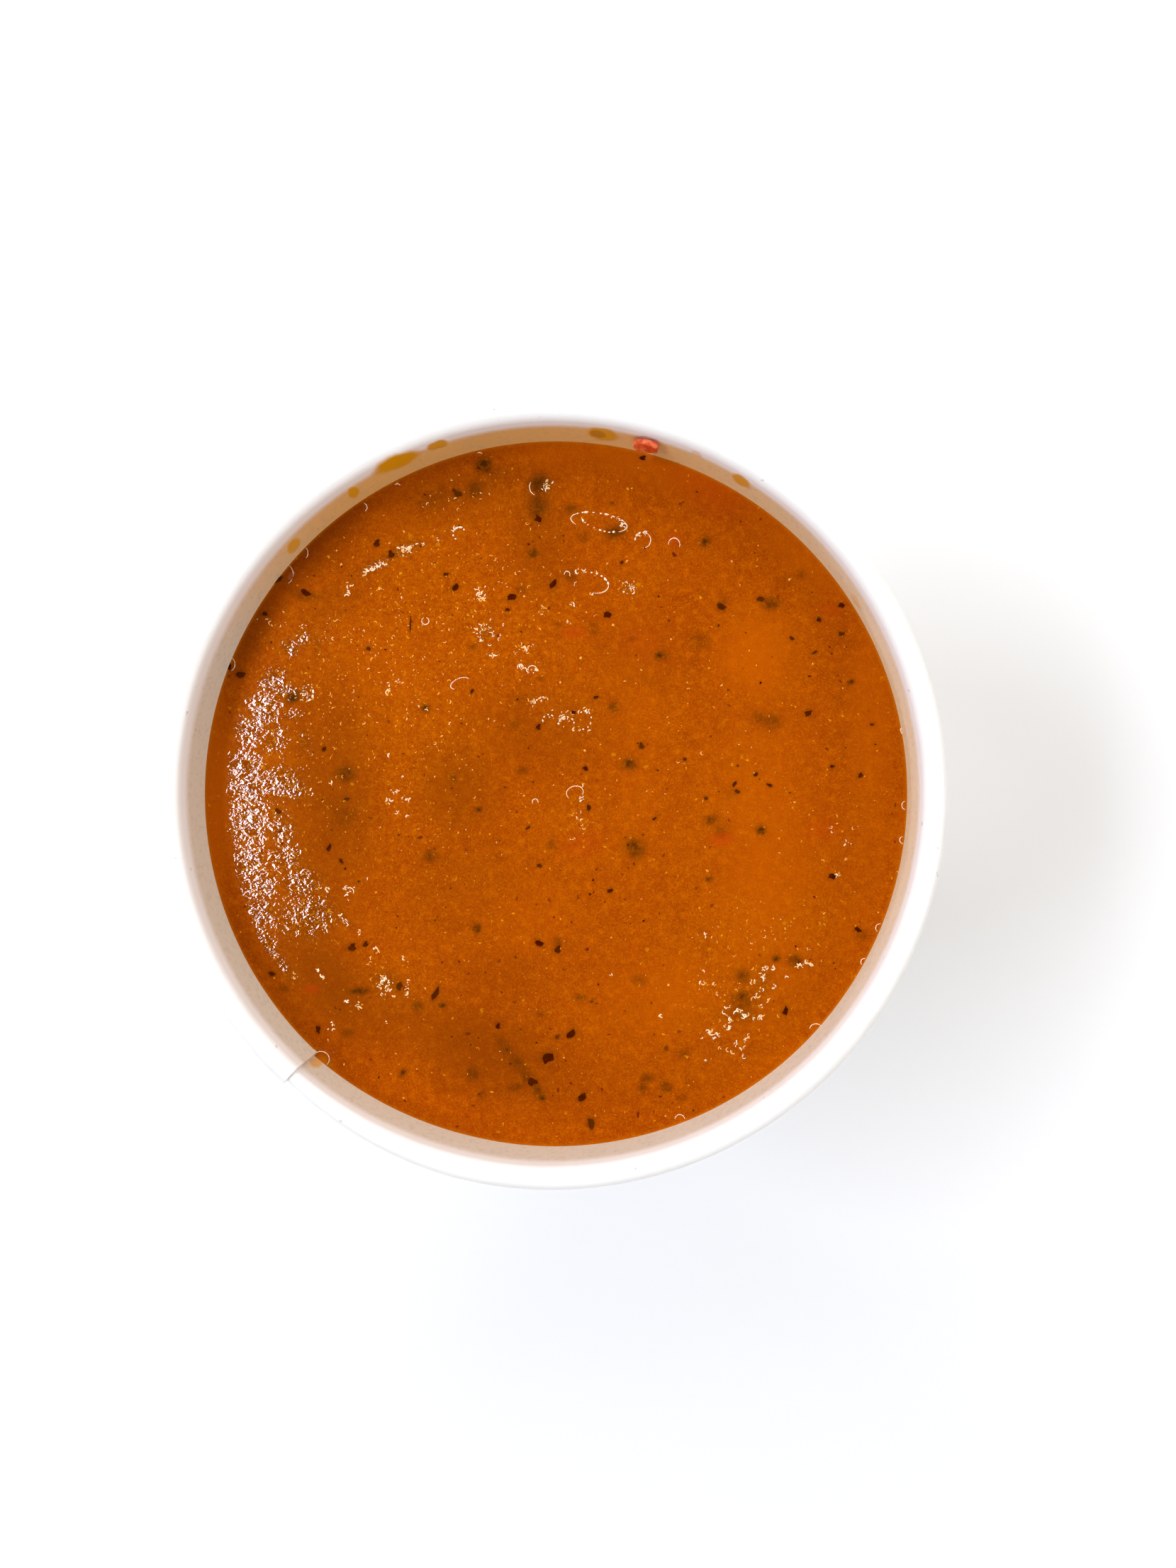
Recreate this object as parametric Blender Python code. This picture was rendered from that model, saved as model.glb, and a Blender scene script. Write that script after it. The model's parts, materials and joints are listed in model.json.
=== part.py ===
"""A single-wall paper soup cup, filled almost to the brim with herbed tomato soup.

Metres, +Z up. The cup stands on its crimped foot at z = 0 and its axis is the Z axis. The sidewall is one
sheet of board: it is wrapped round, glued where its ends overlap, rolled outwards into the rim and folded
inwards round the flange of the base.
"""

import math
import random

import bmesh
import bpy
from mathutils import Matrix, Vector, noise

MM = 0.001

# Cup
RIM_DIAMETER = 98.0 * MM
FOOT_DIAMETER = 75.0 * MM
CUP_HEIGHT = 99.0 * MM
BOARD = 0.45 * MM
ROLL_RADIUS = 1.50 * MM
ROLL_END = math.radians(-105)
ROLL_STEPS = 10
CLEARANCE = 0.30 * MM
HEM_HEIGHT = 6.4 * MM
BASE_HEIGHT = 7.5 * MM
BASE_CORNER = 0.8 * MM
BASE_CORNER_STEPS = 3
FLANGE_FOOT = 1.1 * MM
FOOT_FLAT_SHARE = 0.55

# Glued side seam, its angles measured from +X towards +Y
SEAM_ANGLE = math.radians(228)
SEAM_OVERLAP = math.radians(9.5)
SEAM_STEP = 0.55 * MM
SEAM_FADE = math.radians(30)
SEAM_FADE_POWER = 1.3
CUT_EDGE = math.radians(0.1)
SEAM_STARTS_AT = 3.0 * MM
SEAM_SOUP_GAP = math.radians(0.5)

# Soup
FREEBOARD = 7.8 * MM
MENISCUS_RISE = 0.55 * MM
MENISCUS_REACH = 1.2 * MM
SWELL_DEPTH = 0.16 * MM
SWELL_SPAN = 7.0 * MM
SURFACE_RINGS = 17
RING_POWER = 0.85
COLUMNS = 72

# Herb flakes as (x, y, length) in mm on the soup, the largest of those that float
HERB_FLAKES = (
    (-1.1, -34.3, 1.8), (1.8, -31.2, 1.6), (3.3, -39.3, 1.4), (-3.2, -37.1, 1.4), (4.4, -42.0, 1.4),
    (0.1, -20.0, 1.3), (-10.3, -17.6, 1.2), (-15.6, -26.1, 1.7), (-25.5, -25.7, 2.0), (29.7, -28.2, 1.3),
    (31.1, -21.8, 2.2), (39.1, -17.9, 1.3), (10.4, -7.0, 1.9), (-0.3, 27.1, 1.6), (-5.8, 25.6, 1.4),
    (-13.1, 26.8, 1.4), (-3.0, 31.1, 1.6), (21.4, 24.3, 1.9), (26.9, 24.9, 2.2), (32.6, 10.3, 1.5),
    (-32.7, 26.0, 2.2), (-40.6, 15.4, 1.4), (-34.1, 12.4, 1.8), (9.4, 3.7, 1.6), (36.9, 24.4, 1.1),
    (36.9, 20.7, 1.1), (33.9, 22.5, 1.0), (6.6, 23.2, 1.1), (15.2, 30.9, 1.0), (26.5, -4.7, 1.2),
    (-16.3, -8.1, 1.4), (-29.4, -7.0, 1.1), (-30.7, -30.5, 1.0), (-20.6, -25.3, 1.1), (12.2, -37.2, 1.4),
)
FLAKE_CORNERS = 6
FLAKE_THICKNESS = 0.36 * MM
FLAKE_PROUD = 0.06 * MM
FLAKE_SEED = 7

# Bubble rafts and single bubbles as (x, y, length, width) in mm on the soup
BUBBLES = (
    (5.5, 35.1, 7.0, 2.8), (4.1, 27.5, 5.2, 2.7), (11.3, 32.8, 2.1, 2.1), (15.3, 32.2, 1.4, 1.4),
    (9.2, 26.6, 1.9, 1.7), (-2.4, 40.4, 2.9, 2.0), (-12.2, 33.6, 1.8, 1.3), (-9.2, 20.6, 2.6, 2.0),
    (-4.6, 18.4, 2.2, 1.3), (-12.8, 14.4, 1.9, 1.3), (2.9, 9.8, 3.2, 2.2), (2.4, 0.2, 2.4, 2.0),
    (-28.6, -33.3, 2.0, 2.0), (15.6, -41.1, 1.6, 1.6), (32.6, -29.5, 1.6, 1.6), (-33.9, 27.9, 1.7, 1.7),
)
BUBBLE_HEIGHT_SHARE = 0.22
BUBBLE_SEGMENTS = 12
BUBBLE_RINGS = 6

# Piece of tomato stuck to the wall above the soup, its outline as (along the wall, up the wall) in mm
PIECE_ANGLE = math.radians(73.9)
PIECE_OUTLINE = ((-1.6, 0.5), (-0.5, 0.0), (0.8, -0.35), (1.7, 0.45), (1.6, 1.7), (0.3, 2.8), (-1.5, 2.7))
PIECE_DEPTH = 0.8 * MM
PIECE_BELOW_RIM = 4.5 * MM
PIECE_BEVEL = 0.2 * MM

FOOT_INSIDE = FOOT_DIAMETER / 2 - BOARD
ROLL_CENTRE = Vector((RIM_DIAMETER / 2 - ROLL_RADIUS, CUP_HEIGHT - ROLL_RADIUS))
SOUP_LEVEL = CUP_HEIGHT - FREEBOARD
SOUP_FLOOR = BASE_HEIGHT + CLEARANCE


def wall_lean():
    """The wall's angle to the vertical, where its inside line starts at the foot and touches the roll's circle."""
    across = ROLL_CENTRE.x - FOOT_INSIDE
    up = ROLL_CENTRE.y
    return math.acos(ROLL_RADIUS / math.hypot(across, up)) - math.atan2(up, across)


LEAN = wall_lean()


def wall_inside(z):
    """Radius of the sidewall's inside face at height z, away from the seam."""
    return FOOT_INSIDE + z * math.tan(LEAN)


def seam_recess(angle):
    """How far the wall steps back just past the seam. The step fades out along the wall."""
    past = (angle - SEAM_ANGLE) % math.tau
    if past > SEAM_FADE:
        return 0.0
    return SEAM_STEP * (1 - past / SEAM_FADE) ** SEAM_FADE_POWER


def clear_scene():
    for obj in list(bpy.data.objects):
        bpy.data.objects.remove(obj)


def material(name, colour, roughness):
    made = bpy.data.materials.new(name)
    made.use_nodes = True
    shader = made.node_tree.nodes["Principled BSDF"]
    shader.inputs["Base Color"].default_value = (*colour, 1.0)
    shader.inputs["Roughness"].default_value = roughness
    shader.inputs["Metallic"].default_value = 0.0
    return made


def add_object(name, mesh, finish):
    made = bpy.data.objects.new(name, mesh)
    bpy.context.scene.collection.objects.link(made)
    mesh.materials.append(finish)
    return made


def mesh_from(name, points, faces):
    """A mesh whose faces are turned to point outwards."""
    mesh = bpy.data.meshes.new(name)
    mesh.from_pydata(points, [], faces)
    shape = bmesh.new()
    shape.from_mesh(mesh)
    bmesh.ops.recalc_face_normals(shape, faces=shape.faces)
    shape.to_mesh(mesh)
    shape.free()
    return mesh


def smooth(mesh, crease=40):
    mesh.shade_smooth()
    mesh.set_sharp_from_angle(angle=math.radians(crease))


# Sidewall

def sheet_stations():
    """The sheet's section as (soup-side point, outer-side point, share of the seam's thickness), hem to roll."""
    across = Vector((math.cos(LEAN), -math.sin(LEAN)))
    fold = CLEARANCE + BOARD / 2
    outer = fold + BOARD
    bend = Vector((wall_inside(outer) - fold, outer))
    stations = []
    hem_end = Vector((wall_inside(HEM_HEIGHT) - 2 * fold, HEM_HEIGHT))
    stations.append((hem_end, hem_end - across * BOARD, 0.0))
    stations.append((bend + Vector((-fold, 0)), bend + Vector((-outer, 0)), 0.0))
    for side in (-1, 1):
        corner = Vector((side * FOOT_FLAT_SHARE, -1))
        stations.append((bend + corner * fold, bend + corner * outer, 0.0))
    for height, share in ((bend.y, 0.0), (SEAM_STARTS_AT, 1.0), (CUP_HEIGHT / 2, 1.0)):
        inside = Vector((wall_inside(height), height))
        stations.append((inside, inside + across * BOARD, share))
    start = math.pi - LEAN
    for step in range(ROLL_STEPS + 1):
        angle = start + (ROLL_END - start) * step / ROLL_STEPS
        ray = Vector((math.cos(angle), math.sin(angle)))
        stations.append((ROLL_CENTRE + ray * ROLL_RADIUS, ROLL_CENTRE + ray * (ROLL_RADIUS - BOARD), 1.0))
    return stations


def seam_columns():
    """The columns round the cup as (angle, recess of the soup side, extra on the outer side)."""
    outer_edge = SEAM_ANGLE - SEAM_OVERLAP
    past_cut = SEAM_ANGLE + CUT_EDGE
    columns = [
        (outer_edge - CUT_EDGE, 0.0, 0.0),
        (outer_edge, 0.0, SEAM_STEP),
        (SEAM_ANGLE - SEAM_OVERLAP / 2, 0.0, SEAM_STEP),
        (SEAM_ANGLE, 0.0, SEAM_STEP),
        (past_cut, seam_recess(past_cut), seam_recess(past_cut)),
    ]
    spacing = math.tau / COLUMNS
    for i in range(COLUMNS):
        angle = i * spacing
        if not outer_edge - spacing / 2 < angle < past_cut + spacing / 2:
            columns.append((angle, seam_recess(angle), seam_recess(angle)))
    return sorted(columns)


def make_sidewall(finish):
    """The wrapped sheet with its overlap, as one closed mesh: a ring of section points for each column."""
    stations = sheet_stations()
    columns = seam_columns()
    points = []
    for angle, recess, extra in columns:
        inner_side, outer_side = [], []
        for soup_side, back_side, share in stations:
            away = (back_side - soup_side).normalized()
            inner_side.append(soup_side + away * recess * share)
            outer_side.append(back_side + away * extra * share)
        for radius, height in inner_side + outer_side[::-1]:
            points.append((radius * math.cos(angle), radius * math.sin(angle), height))
    count = 2 * len(stations)
    faces = []
    for column in range(len(columns)):
        here, there = column * count, (column + 1) % len(columns) * count
        for k in range(count):
            after = (k + 1) % count
            faces.append((here + k, there + k, there + after, here + after))
    mesh = mesh_from("cup_wall", points, faces)
    smooth(mesh)
    return add_object("cup_wall", mesh, finish)


# Base disc with its flange

def make_base(finish):
    """A turned cap: a flat disc whose flange hangs in the fold of the sidewall."""
    top, under = BASE_HEIGHT, BASE_HEIGHT - BOARD
    outer = CLEARANCE
    inner = CLEARANCE + BOARD
    corner = wall_inside(top - BASE_CORNER) - outer - BASE_CORNER
    section = [(0.0, top)]
    for step in range(BASE_CORNER_STEPS + 1):
        turn = math.pi / 2 * (1 - step / BASE_CORNER_STEPS)
        section.append((corner + BASE_CORNER * math.cos(turn), top - BASE_CORNER * (1 - math.sin(turn))))
    section.append((wall_inside(FLANGE_FOOT) - outer, FLANGE_FOOT))
    section.append((wall_inside(FLANGE_FOOT) - inner, FLANGE_FOOT))
    section.append((wall_inside(under - BOARD) - inner, under - BOARD))
    section.append((wall_inside(under) - inner - BOARD, under))
    section.append((0.0, under))
    mesh = bpy.data.meshes.new("cup_base")
    edges = [(i, i + 1) for i in range(len(section) - 1)]
    mesh.from_pydata([(radius, 0.0, height) for radius, height in section], edges, [])
    base = add_object("cup_base", mesh, finish)
    turned = base.modifiers.new("turned", "SCREW")
    turned.steps = turned.render_steps = COLUMNS
    turned.use_merge_vertices = True
    turned.merge_threshold = 0.00001
    turned.use_smooth_shade = False
    return base


# Soup

def soup_height(x, y):
    """Height of the soup's surface: a slow swell, and a meniscus that climbs the wall."""
    radius = math.hypot(x, y)
    edge = wall_inside(SOUP_LEVEL) - CLEARANCE
    swell = SWELL_DEPTH * noise.noise(Vector((x, y, 0.0)) / SWELL_SPAN)
    return SOUP_LEVEL + swell + MENISCUS_RISE * math.exp(-(edge - radius) / MENISCUS_REACH)


def ring_shares():
    """The surface's rings as shares of its radius, closer together where the meniscus climbs."""
    return [math.sin(math.pi / 2 * i / SURFACE_RINGS) ** RING_POWER for i in range(1, SURFACE_RINGS + 1)]


def soup_outline():
    """The columns round the soup as (angle, recess): it fills the wall's step and keeps clear of it."""
    spacing = math.tau / COLUMNS
    before, after = SEAM_ANGLE + SEAM_SOUP_GAP, SEAM_ANGLE + 2 * SEAM_SOUP_GAP
    columns = [(before, 0.0), (after, seam_recess(after))]
    for i in range(COLUMNS):
        angle = i * spacing
        if not before - spacing / 2 < angle < after + spacing / 2:
            columns.append((angle, seam_recess(angle)))
    return sorted(columns)


def make_soup_body(finish):
    """The soup as poured: the cup's inside shape, with the surface as rings of points."""
    outline = soup_outline()
    count = len(outline)
    edge = wall_inside(SOUP_LEVEL) - CLEARANCE
    points = [(0.0, 0.0, soup_height(0.0, 0.0))]
    for share in ring_shares():
        for angle, recess in outline:
            x, y = edge * share * math.cos(angle), edge * share * math.sin(angle)
            reach = 1 + recess * share / edge
            points.append((x * reach, y * reach, soup_height(x, y)))
    floor_radius = wall_inside(SOUP_FLOOR) - CLEARANCE
    for angle, recess in outline:
        radius = floor_radius + recess
        points.append((radius * math.cos(angle), radius * math.sin(angle), SOUP_FLOOR))
    faces = [(0, 1 + i, 1 + (i + 1) % count) for i in range(count)]
    for ring in range(SURFACE_RINGS):
        inner, outer = 1 + ring * count, 1 + (ring + 1) * count
        for i in range(count):
            after = (i + 1) % count
            faces.append((inner + i, outer + i, outer + after, inner + after))
    last = 1 + SURFACE_RINGS * count
    faces.append(tuple(last + i for i in reversed(range(count))))
    return add_object("soup", mesh_from("soup", points, faces), finish)


def make_flake(draw, x, y, length, finish):
    """A torn dry leaf: a thin plate with uneven corners that lies half sunk in the soup."""
    width = length * draw.uniform(0.5, 0.75)
    turn = draw.uniform(0.0, math.pi)
    shape = bmesh.new()
    corners = []
    for k in range(FLAKE_CORNERS):
        angle = math.tau * (k + draw.uniform(-0.25, 0.25)) / FLAKE_CORNERS
        reach = draw.uniform(0.75, 1.1) / 2
        corners.append(shape.verts.new((length * reach * math.cos(angle), width * reach * math.sin(angle), 0.0)))
    plate = shape.faces.new(corners)
    raised = bmesh.ops.extrude_face_region(shape, geom=[plate])["geom"]
    lifted = [v for v in raised if isinstance(v, bmesh.types.BMVert)]
    bmesh.ops.translate(shape, verts=lifted, vec=(0.0, 0.0, FLAKE_THICKNESS))
    bmesh.ops.recalc_face_normals(shape, faces=shape.faces)
    foot = soup_height(x, y) + FLAKE_PROUD - FLAKE_THICKNESS / 2
    shape.transform(Matrix.Translation((x, y, foot)) @ Matrix.Rotation(turn, 4, "Z"))
    mesh = bpy.data.meshes.new("flake")
    shape.to_mesh(mesh)
    shape.free()
    return add_object("flake", mesh, finish)


def make_bubble(x, y, length, width, finish):
    """A low dome, half of an ellipsoid above the soup and half below."""
    shape = bmesh.new()
    bmesh.ops.create_uvsphere(shape, u_segments=BUBBLE_SEGMENTS, v_segments=BUBBLE_RINGS, radius=1.0)
    height = BUBBLE_HEIGHT_SHARE * width
    size = Matrix.Diagonal((length / 2, width / 2, height, 1.0))
    shape.transform(Matrix.Translation((x, y, soup_height(x, y))) @ size)
    mesh = bpy.data.meshes.new("bubble")
    shape.to_mesh(mesh)
    shape.free()
    return add_object("bubble", mesh, finish)


def fuse(target, additions):
    """Joins the additions to the target by one Boolean union, and removes them."""
    group = bpy.data.collections.new("additions")
    bpy.context.scene.collection.children.link(group)
    for piece in additions:
        bpy.context.scene.collection.objects.unlink(piece)
        group.objects.link(piece)
    union = target.modifiers.new("fused", "BOOLEAN")
    union.operation = "UNION"
    union.operand_type = "COLLECTION"
    union.collection = group
    union.solver = "EXACT"
    bpy.context.view_layer.update()
    graph = bpy.context.evaluated_depsgraph_get()
    fused = bpy.data.meshes.new_from_object(target.evaluated_get(graph))
    target.modifiers.clear()
    target.data = fused
    for piece in additions:
        bpy.data.objects.remove(piece)
    bpy.data.collections.remove(group)


def make_soup(finish):
    soup = make_soup_body(finish)
    draw = random.Random(FLAKE_SEED)
    additions = [make_flake(draw, x * MM, y * MM, length * MM, finish) for x, y, length in HERB_FLAKES]
    additions += [make_bubble(*(size * MM for size in bubble), finish) for bubble in BUBBLES]
    fuse(soup, additions)
    smooth(soup.data)
    return soup


# Piece of tomato on the wall

def make_tomato_piece(finish):
    """A thin torn piece with rounded edges, its back along the wall."""
    bottom = CUP_HEIGHT - PIECE_BELOW_RIM
    widest = max(abs(along) for along, up in PIECE_OUTLINE) * MM
    radius = wall_inside(bottom)
    # The flat back comes nearest to the curved wall at its sides.
    sag = radius - math.sqrt(radius ** 2 - widest ** 2)
    shape = bmesh.new()
    corners = [shape.verts.new((0.0, along * MM, up * MM)) for along, up in PIECE_OUTLINE]
    back = shape.faces.new(corners)
    raised = bmesh.ops.extrude_face_region(shape, geom=[back])["geom"]
    lifted = [v for v in raised if isinstance(v, bmesh.types.BMVert)]
    bmesh.ops.translate(shape, verts=lifted, vec=(-PIECE_DEPTH, 0.0, 0.0))
    bmesh.ops.recalc_face_normals(shape, faces=shape.faces)
    bmesh.ops.bevel(shape, geom=shape.edges[:], offset=PIECE_BEVEL, segments=1, affect="EDGES")
    seat = Matrix.Translation((radius - CLEARANCE - sag, 0.0, bottom))
    shape.transform(Matrix.Rotation(PIECE_ANGLE, 4, "Z") @ seat @ Matrix.Rotation(LEAN, 4, "Y"))
    mesh = bpy.data.meshes.new("tomato_piece")
    shape.to_mesh(mesh)
    shape.free()
    smooth(mesh, crease=60)
    return add_object("tomato_piece", mesh, finish)


def main():
    clear_scene()
    board = material("white_board", (0.86, 0.84, 0.80), 0.55)
    base_board = material("base_board", (0.82, 0.80, 0.76), 0.6)
    soup = material("tomato_soup", (0.48, 0.09, 0.004), 0.25)
    tomato = material("tomato_flesh", (0.55, 0.05, 0.006), 0.3)
    make_sidewall(board)
    make_base(base_board)
    make_soup(soup)
    make_tomato_piece(tomato)


main()
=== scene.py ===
# %% [markdown]
# # Herbed tomato soup in a paper cup
# A white paper soup cup stands on a table and is nearly full of tomato soup with dried herbs. We look down
# into it. The lesson builds the cup from its section, pours the soup with Geometry Nodes, lays herbs, pulp
# and bubbles on it, and ends with the light.

# %% Load the part
import math
import random

import bmesh
import bpy
import numpy as np
from mathutils import Euler, Matrix, Vector, noise
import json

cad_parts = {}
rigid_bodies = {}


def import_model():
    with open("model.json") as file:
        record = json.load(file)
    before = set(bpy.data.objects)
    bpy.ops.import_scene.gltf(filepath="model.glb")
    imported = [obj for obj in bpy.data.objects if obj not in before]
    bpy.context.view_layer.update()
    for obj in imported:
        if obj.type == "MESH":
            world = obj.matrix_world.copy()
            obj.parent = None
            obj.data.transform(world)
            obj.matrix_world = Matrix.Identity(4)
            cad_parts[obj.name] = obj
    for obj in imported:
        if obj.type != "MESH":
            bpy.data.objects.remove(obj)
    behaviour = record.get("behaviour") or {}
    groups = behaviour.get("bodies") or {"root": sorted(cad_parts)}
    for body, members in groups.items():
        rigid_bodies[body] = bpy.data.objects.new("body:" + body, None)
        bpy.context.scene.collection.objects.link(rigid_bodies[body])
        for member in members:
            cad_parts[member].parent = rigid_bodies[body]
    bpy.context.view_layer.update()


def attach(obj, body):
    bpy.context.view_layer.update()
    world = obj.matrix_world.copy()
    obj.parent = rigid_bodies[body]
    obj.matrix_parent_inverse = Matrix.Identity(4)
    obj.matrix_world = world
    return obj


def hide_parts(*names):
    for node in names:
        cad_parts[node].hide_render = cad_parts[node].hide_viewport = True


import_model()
MM = 0.001

# %% [markdown]
# ## Where the photograph was taken
# The picture was taken by hand from about 150 mm above the rim, not quite over the middle. The rim's circle
# and the soup's circle are both round in it but not concentric, and that gives the camera's place and its
# slight lean. The same numbers turn a pixel of the photograph into a point on the soup or on the wall, so
# each small thing can be laid where it was seen.

# %% Camera
PHOTO_WIDTH, PHOTO_HEIGHT = 1659, 2212
FOCAL_PIXELS = 1710
CAMERA_PLACE = Vector((14.88, -0.96, 247.1)) * MM
CAMERA_LEAN = Euler((math.radians(0.757), math.radians(3.645), 0.0))
SENSOR = 36.0

lens = bpy.data.cameras.new("overhead")
lens.sensor_width = SENSOR
lens.lens = SENSOR * FOCAL_PIXELS / PHOTO_HEIGHT
lens.clip_start = 0.01
camera = bpy.data.objects.new("overhead", lens)
camera.location = CAMERA_PLACE
camera.rotation_euler = CAMERA_LEAN
bpy.context.scene.collection.objects.link(camera)
bpy.context.scene.camera = camera
print("lens", round(lens.lens, 2), "mm")


def on_level(px, py, height):
    """The point at a height that the photograph shows at a pixel."""
    look = CAMERA_LEAN.to_matrix() @ Vector((px - PHOTO_WIDTH / 2, PHOTO_HEIGHT / 2 - py, -FOCAL_PIXELS))
    return CAMERA_PLACE + look * ((height - CAMERA_PLACE.z) / look.z)


# %% [markdown]
# ## The cup's section
# Everything in the cup follows from one straight line: the inside of the sidewall, which leans out a little
# over five degrees from the foot and runs into the rolled rim. A half-litre cup has a rim of 98 mm, a base
# of 75 mm and a height of 99 mm. Where the sheet's ends overlap, the inner end stops in a step, and the wall
# beyond it lies further out and comes back slowly.

# %% Sizes of the cup
RIM_RADIUS = 49.0 * MM
CUP_HEIGHT = 99.0 * MM
BOARD = 0.45 * MM
FOOT_INSIDE = 37.5 * MM - BOARD
ROLL_RADIUS = 1.5 * MM
ROLL_CENTRE = Vector((RIM_RADIUS - ROLL_RADIUS, CUP_HEIGHT - ROLL_RADIUS))
ROLL_END = math.radians(-105)
CLEARANCE = 0.3 * MM
HEM_HEIGHT = 6.4 * MM
BASE_HEIGHT = 7.5 * MM
SEAM_ANGLE = math.radians(228)
SEAM_OVERLAP = math.radians(9.5)
SEAM_STEP = 0.55 * MM
SEAM_FADE = math.radians(30)
SEAM_FADE_POWER = 1.3

across = ROLL_CENTRE.x - FOOT_INSIDE
LEAN = math.acos(ROLL_RADIUS / math.hypot(across, ROLL_CENTRE.y)) - math.atan2(ROLL_CENTRE.y, across)
print("the wall leans", round(math.degrees(LEAN), 2), "degrees")


def wall_inside(z):
    """Radius of the wall's inside face at a height, away from the seam."""
    return FOOT_INSIDE + z * math.tan(LEAN)


def seam_recess(angle):
    """How far the wall steps back just past the seam."""
    past = (angle - SEAM_ANGLE) % math.tau
    return SEAM_STEP * (1 - past / SEAM_FADE) ** SEAM_FADE_POWER if past < SEAM_FADE else 0.0


def on_wall(px, py):
    """The point of the inside wall that the photograph shows at a pixel."""
    low, high = CUP_HEIGHT / 2, CUP_HEIGHT
    for _ in range(40):
        middle = (low + high) / 2
        point = on_level(px, py, middle)
        if math.hypot(point.x, point.y) > wall_inside(middle):
            low = middle
        else:
            high = middle
    return point


# %% [markdown]
# ## Helpers for node trees
# A node tree is easier to read when each node is one line. A little class adds a node, sets its values and
# wires its inputs, and it has short names for the nodes that come back often.

# %% Node helpers
class Tree:
    """A node tree under construction."""

    def __init__(self, tree):
        self.tree = tree

    def add(self, kind, inputs=None, **settings):
        node = self.tree.nodes.new(kind)
        for name, value in settings.items():
            setattr(node, name, value)
        for key, value in (inputs or {}).items():
            if isinstance(value, bpy.types.NodeSocket):
                self.tree.links.new(value, node.inputs[key])
            else:
                node.inputs[key].default_value = value
        return node

    def math(self, operation, *values):
        return self.add("ShaderNodeMath", dict(enumerate(values)), operation=operation).outputs[0]

    def spread(self, value, low, high, to_low=0.0, to_high=1.0, kind="SMOOTHSTEP"):
        """Maps low..high to to_low..to_high, softly and within those ends."""
        sent = {"Value": value, "From Min": low, "From Max": high, "To Min": to_low, "To Max": to_high}
        return self.add("ShaderNodeMapRange", sent, interpolation_type=kind).outputs["Result"]

    def mix(self, share, first, second):
        """Blends two colours, or lays the second over the first."""
        node = self.add("ShaderNodeMix", data_type="RGBA")
        for index, value in ((0, share), (6, first), (7, second)):
            if isinstance(value, bpy.types.NodeSocket):
                self.tree.links.new(value, node.inputs[index])
            elif index:
                node.inputs[index].default_value = (*value, 1.0)
            else:
                node.inputs[index].default_value = value
        return node.outputs[2]

    def noise(self, place, size, detail=2.0, roughness=0.5, warp=0.0):
        """Cloudy noise whose blotches measure about size, in metres."""
        sent = {"Vector": place, "Scale": 1 / size, "Detail": detail, "Roughness": roughness, "Distortion": warp}
        return self.add("ShaderNodeTexNoise", sent).outputs["Fac"]

    def vector(self, operation, *values, output="Vector", **sent):
        inputs = {**dict(enumerate(values)), **sent}
        return self.add("ShaderNodeVectorMath", inputs, operation=operation).outputs[output]

    def split(self, place):
        return self.add("ShaderNodeSeparateXYZ", {0: place}).outputs

    def jumbled(self, place, size, detail, reach):
        """Moves the place about, so that an edge drawn there looks torn."""
        clouds = self.add("ShaderNodeTexNoise", {"Vector": place, "Scale": 1 / size, "Detail": detail})
        shift = self.vector("ADD", clouds.outputs["Color"], (-0.5, -0.5, -0.5))
        return self.vector("ADD", place, self.vector("SCALE", shift, Scale=reach))

    def stored(self, name):
        """A value kept on the piece's own points."""
        return self.add("ShaderNodeAttribute", attribute_name=name).outputs["Fac"]


print("node helpers:", *(name for name in vars(Tree) if not name.startswith("_")))

# %% [markdown]
# ## Helpers for finishes
# Every finish starts from the Principled shader and reads Object coordinates, which are in metres. So a
# grain keeps its real size on whatever it is laid.

# %% Finish helpers
def finish_named(name, roughness, **constant):
    """A new material, its tree, its Principled shader and its Object coordinates."""
    made = bpy.data.materials.new(name)
    made.use_nodes = True
    shader = made.node_tree.nodes["Principled BSDF"]
    shader.inputs["Roughness"].default_value = roughness
    for key, value in constant.items():
        shader.inputs[key.replace("_", " ")].default_value = value
    nodes = Tree(made.node_tree)
    return made, nodes, shader, nodes.add("ShaderNodeTexCoord").outputs["Object"]


def wire(nodes, shader, key, socket):
    nodes.tree.links.new(socket, shader.inputs[key])


def bump(nodes, shader, height, depth):
    """Raises the surface by height, 0 to 1, times depth in metres."""
    node = nodes.add("ShaderNodeBump", {"Height": height, "Distance": depth, "Strength": 1.0})
    wire(nodes, shader, "Normal", node.outputs["Normal"])


# %% [markdown]
# ## Helpers for meshes
# Some forms are easiest as plain lists of points and faces. Their faces are turned outwards, and edges
# sharper than the crease angle stay crisp. A value can be kept on each point, for a finish to read.

# %% Mesh helpers
def add_piece(name, mesh, finish=None):
    piece = bpy.data.objects.new(name, mesh)
    bpy.context.scene.collection.objects.link(piece)
    if finish:
        mesh.materials.append(finish)
    return piece


def turn_outwards(mesh, crease=None):
    """Turns a closed mesh's faces outwards and smooths it, except at edges over crease degrees."""
    shape = bmesh.new()
    shape.from_mesh(mesh)
    bmesh.ops.recalc_face_normals(shape, faces=shape.faces)
    shape.to_mesh(mesh)
    shape.free()
    if crease is not None:
        mesh.shade_smooth()
        mesh.set_sharp_from_angle(angle=math.radians(crease))


def mesh_of(name, points, faces, crease=None):
    mesh = bpy.data.meshes.new(name)
    mesh.from_pydata(points, [], faces)
    turn_outwards(mesh, crease)
    return mesh


def keep(mesh, name, values, kind="FLOAT"):
    """Keeps one value on each of a mesh's points."""
    field = "vector" if kind == "FLOAT_VECTOR" else "value"
    mesh.attributes.new(name, kind, "POINT").data.foreach_set(field, values)


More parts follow.
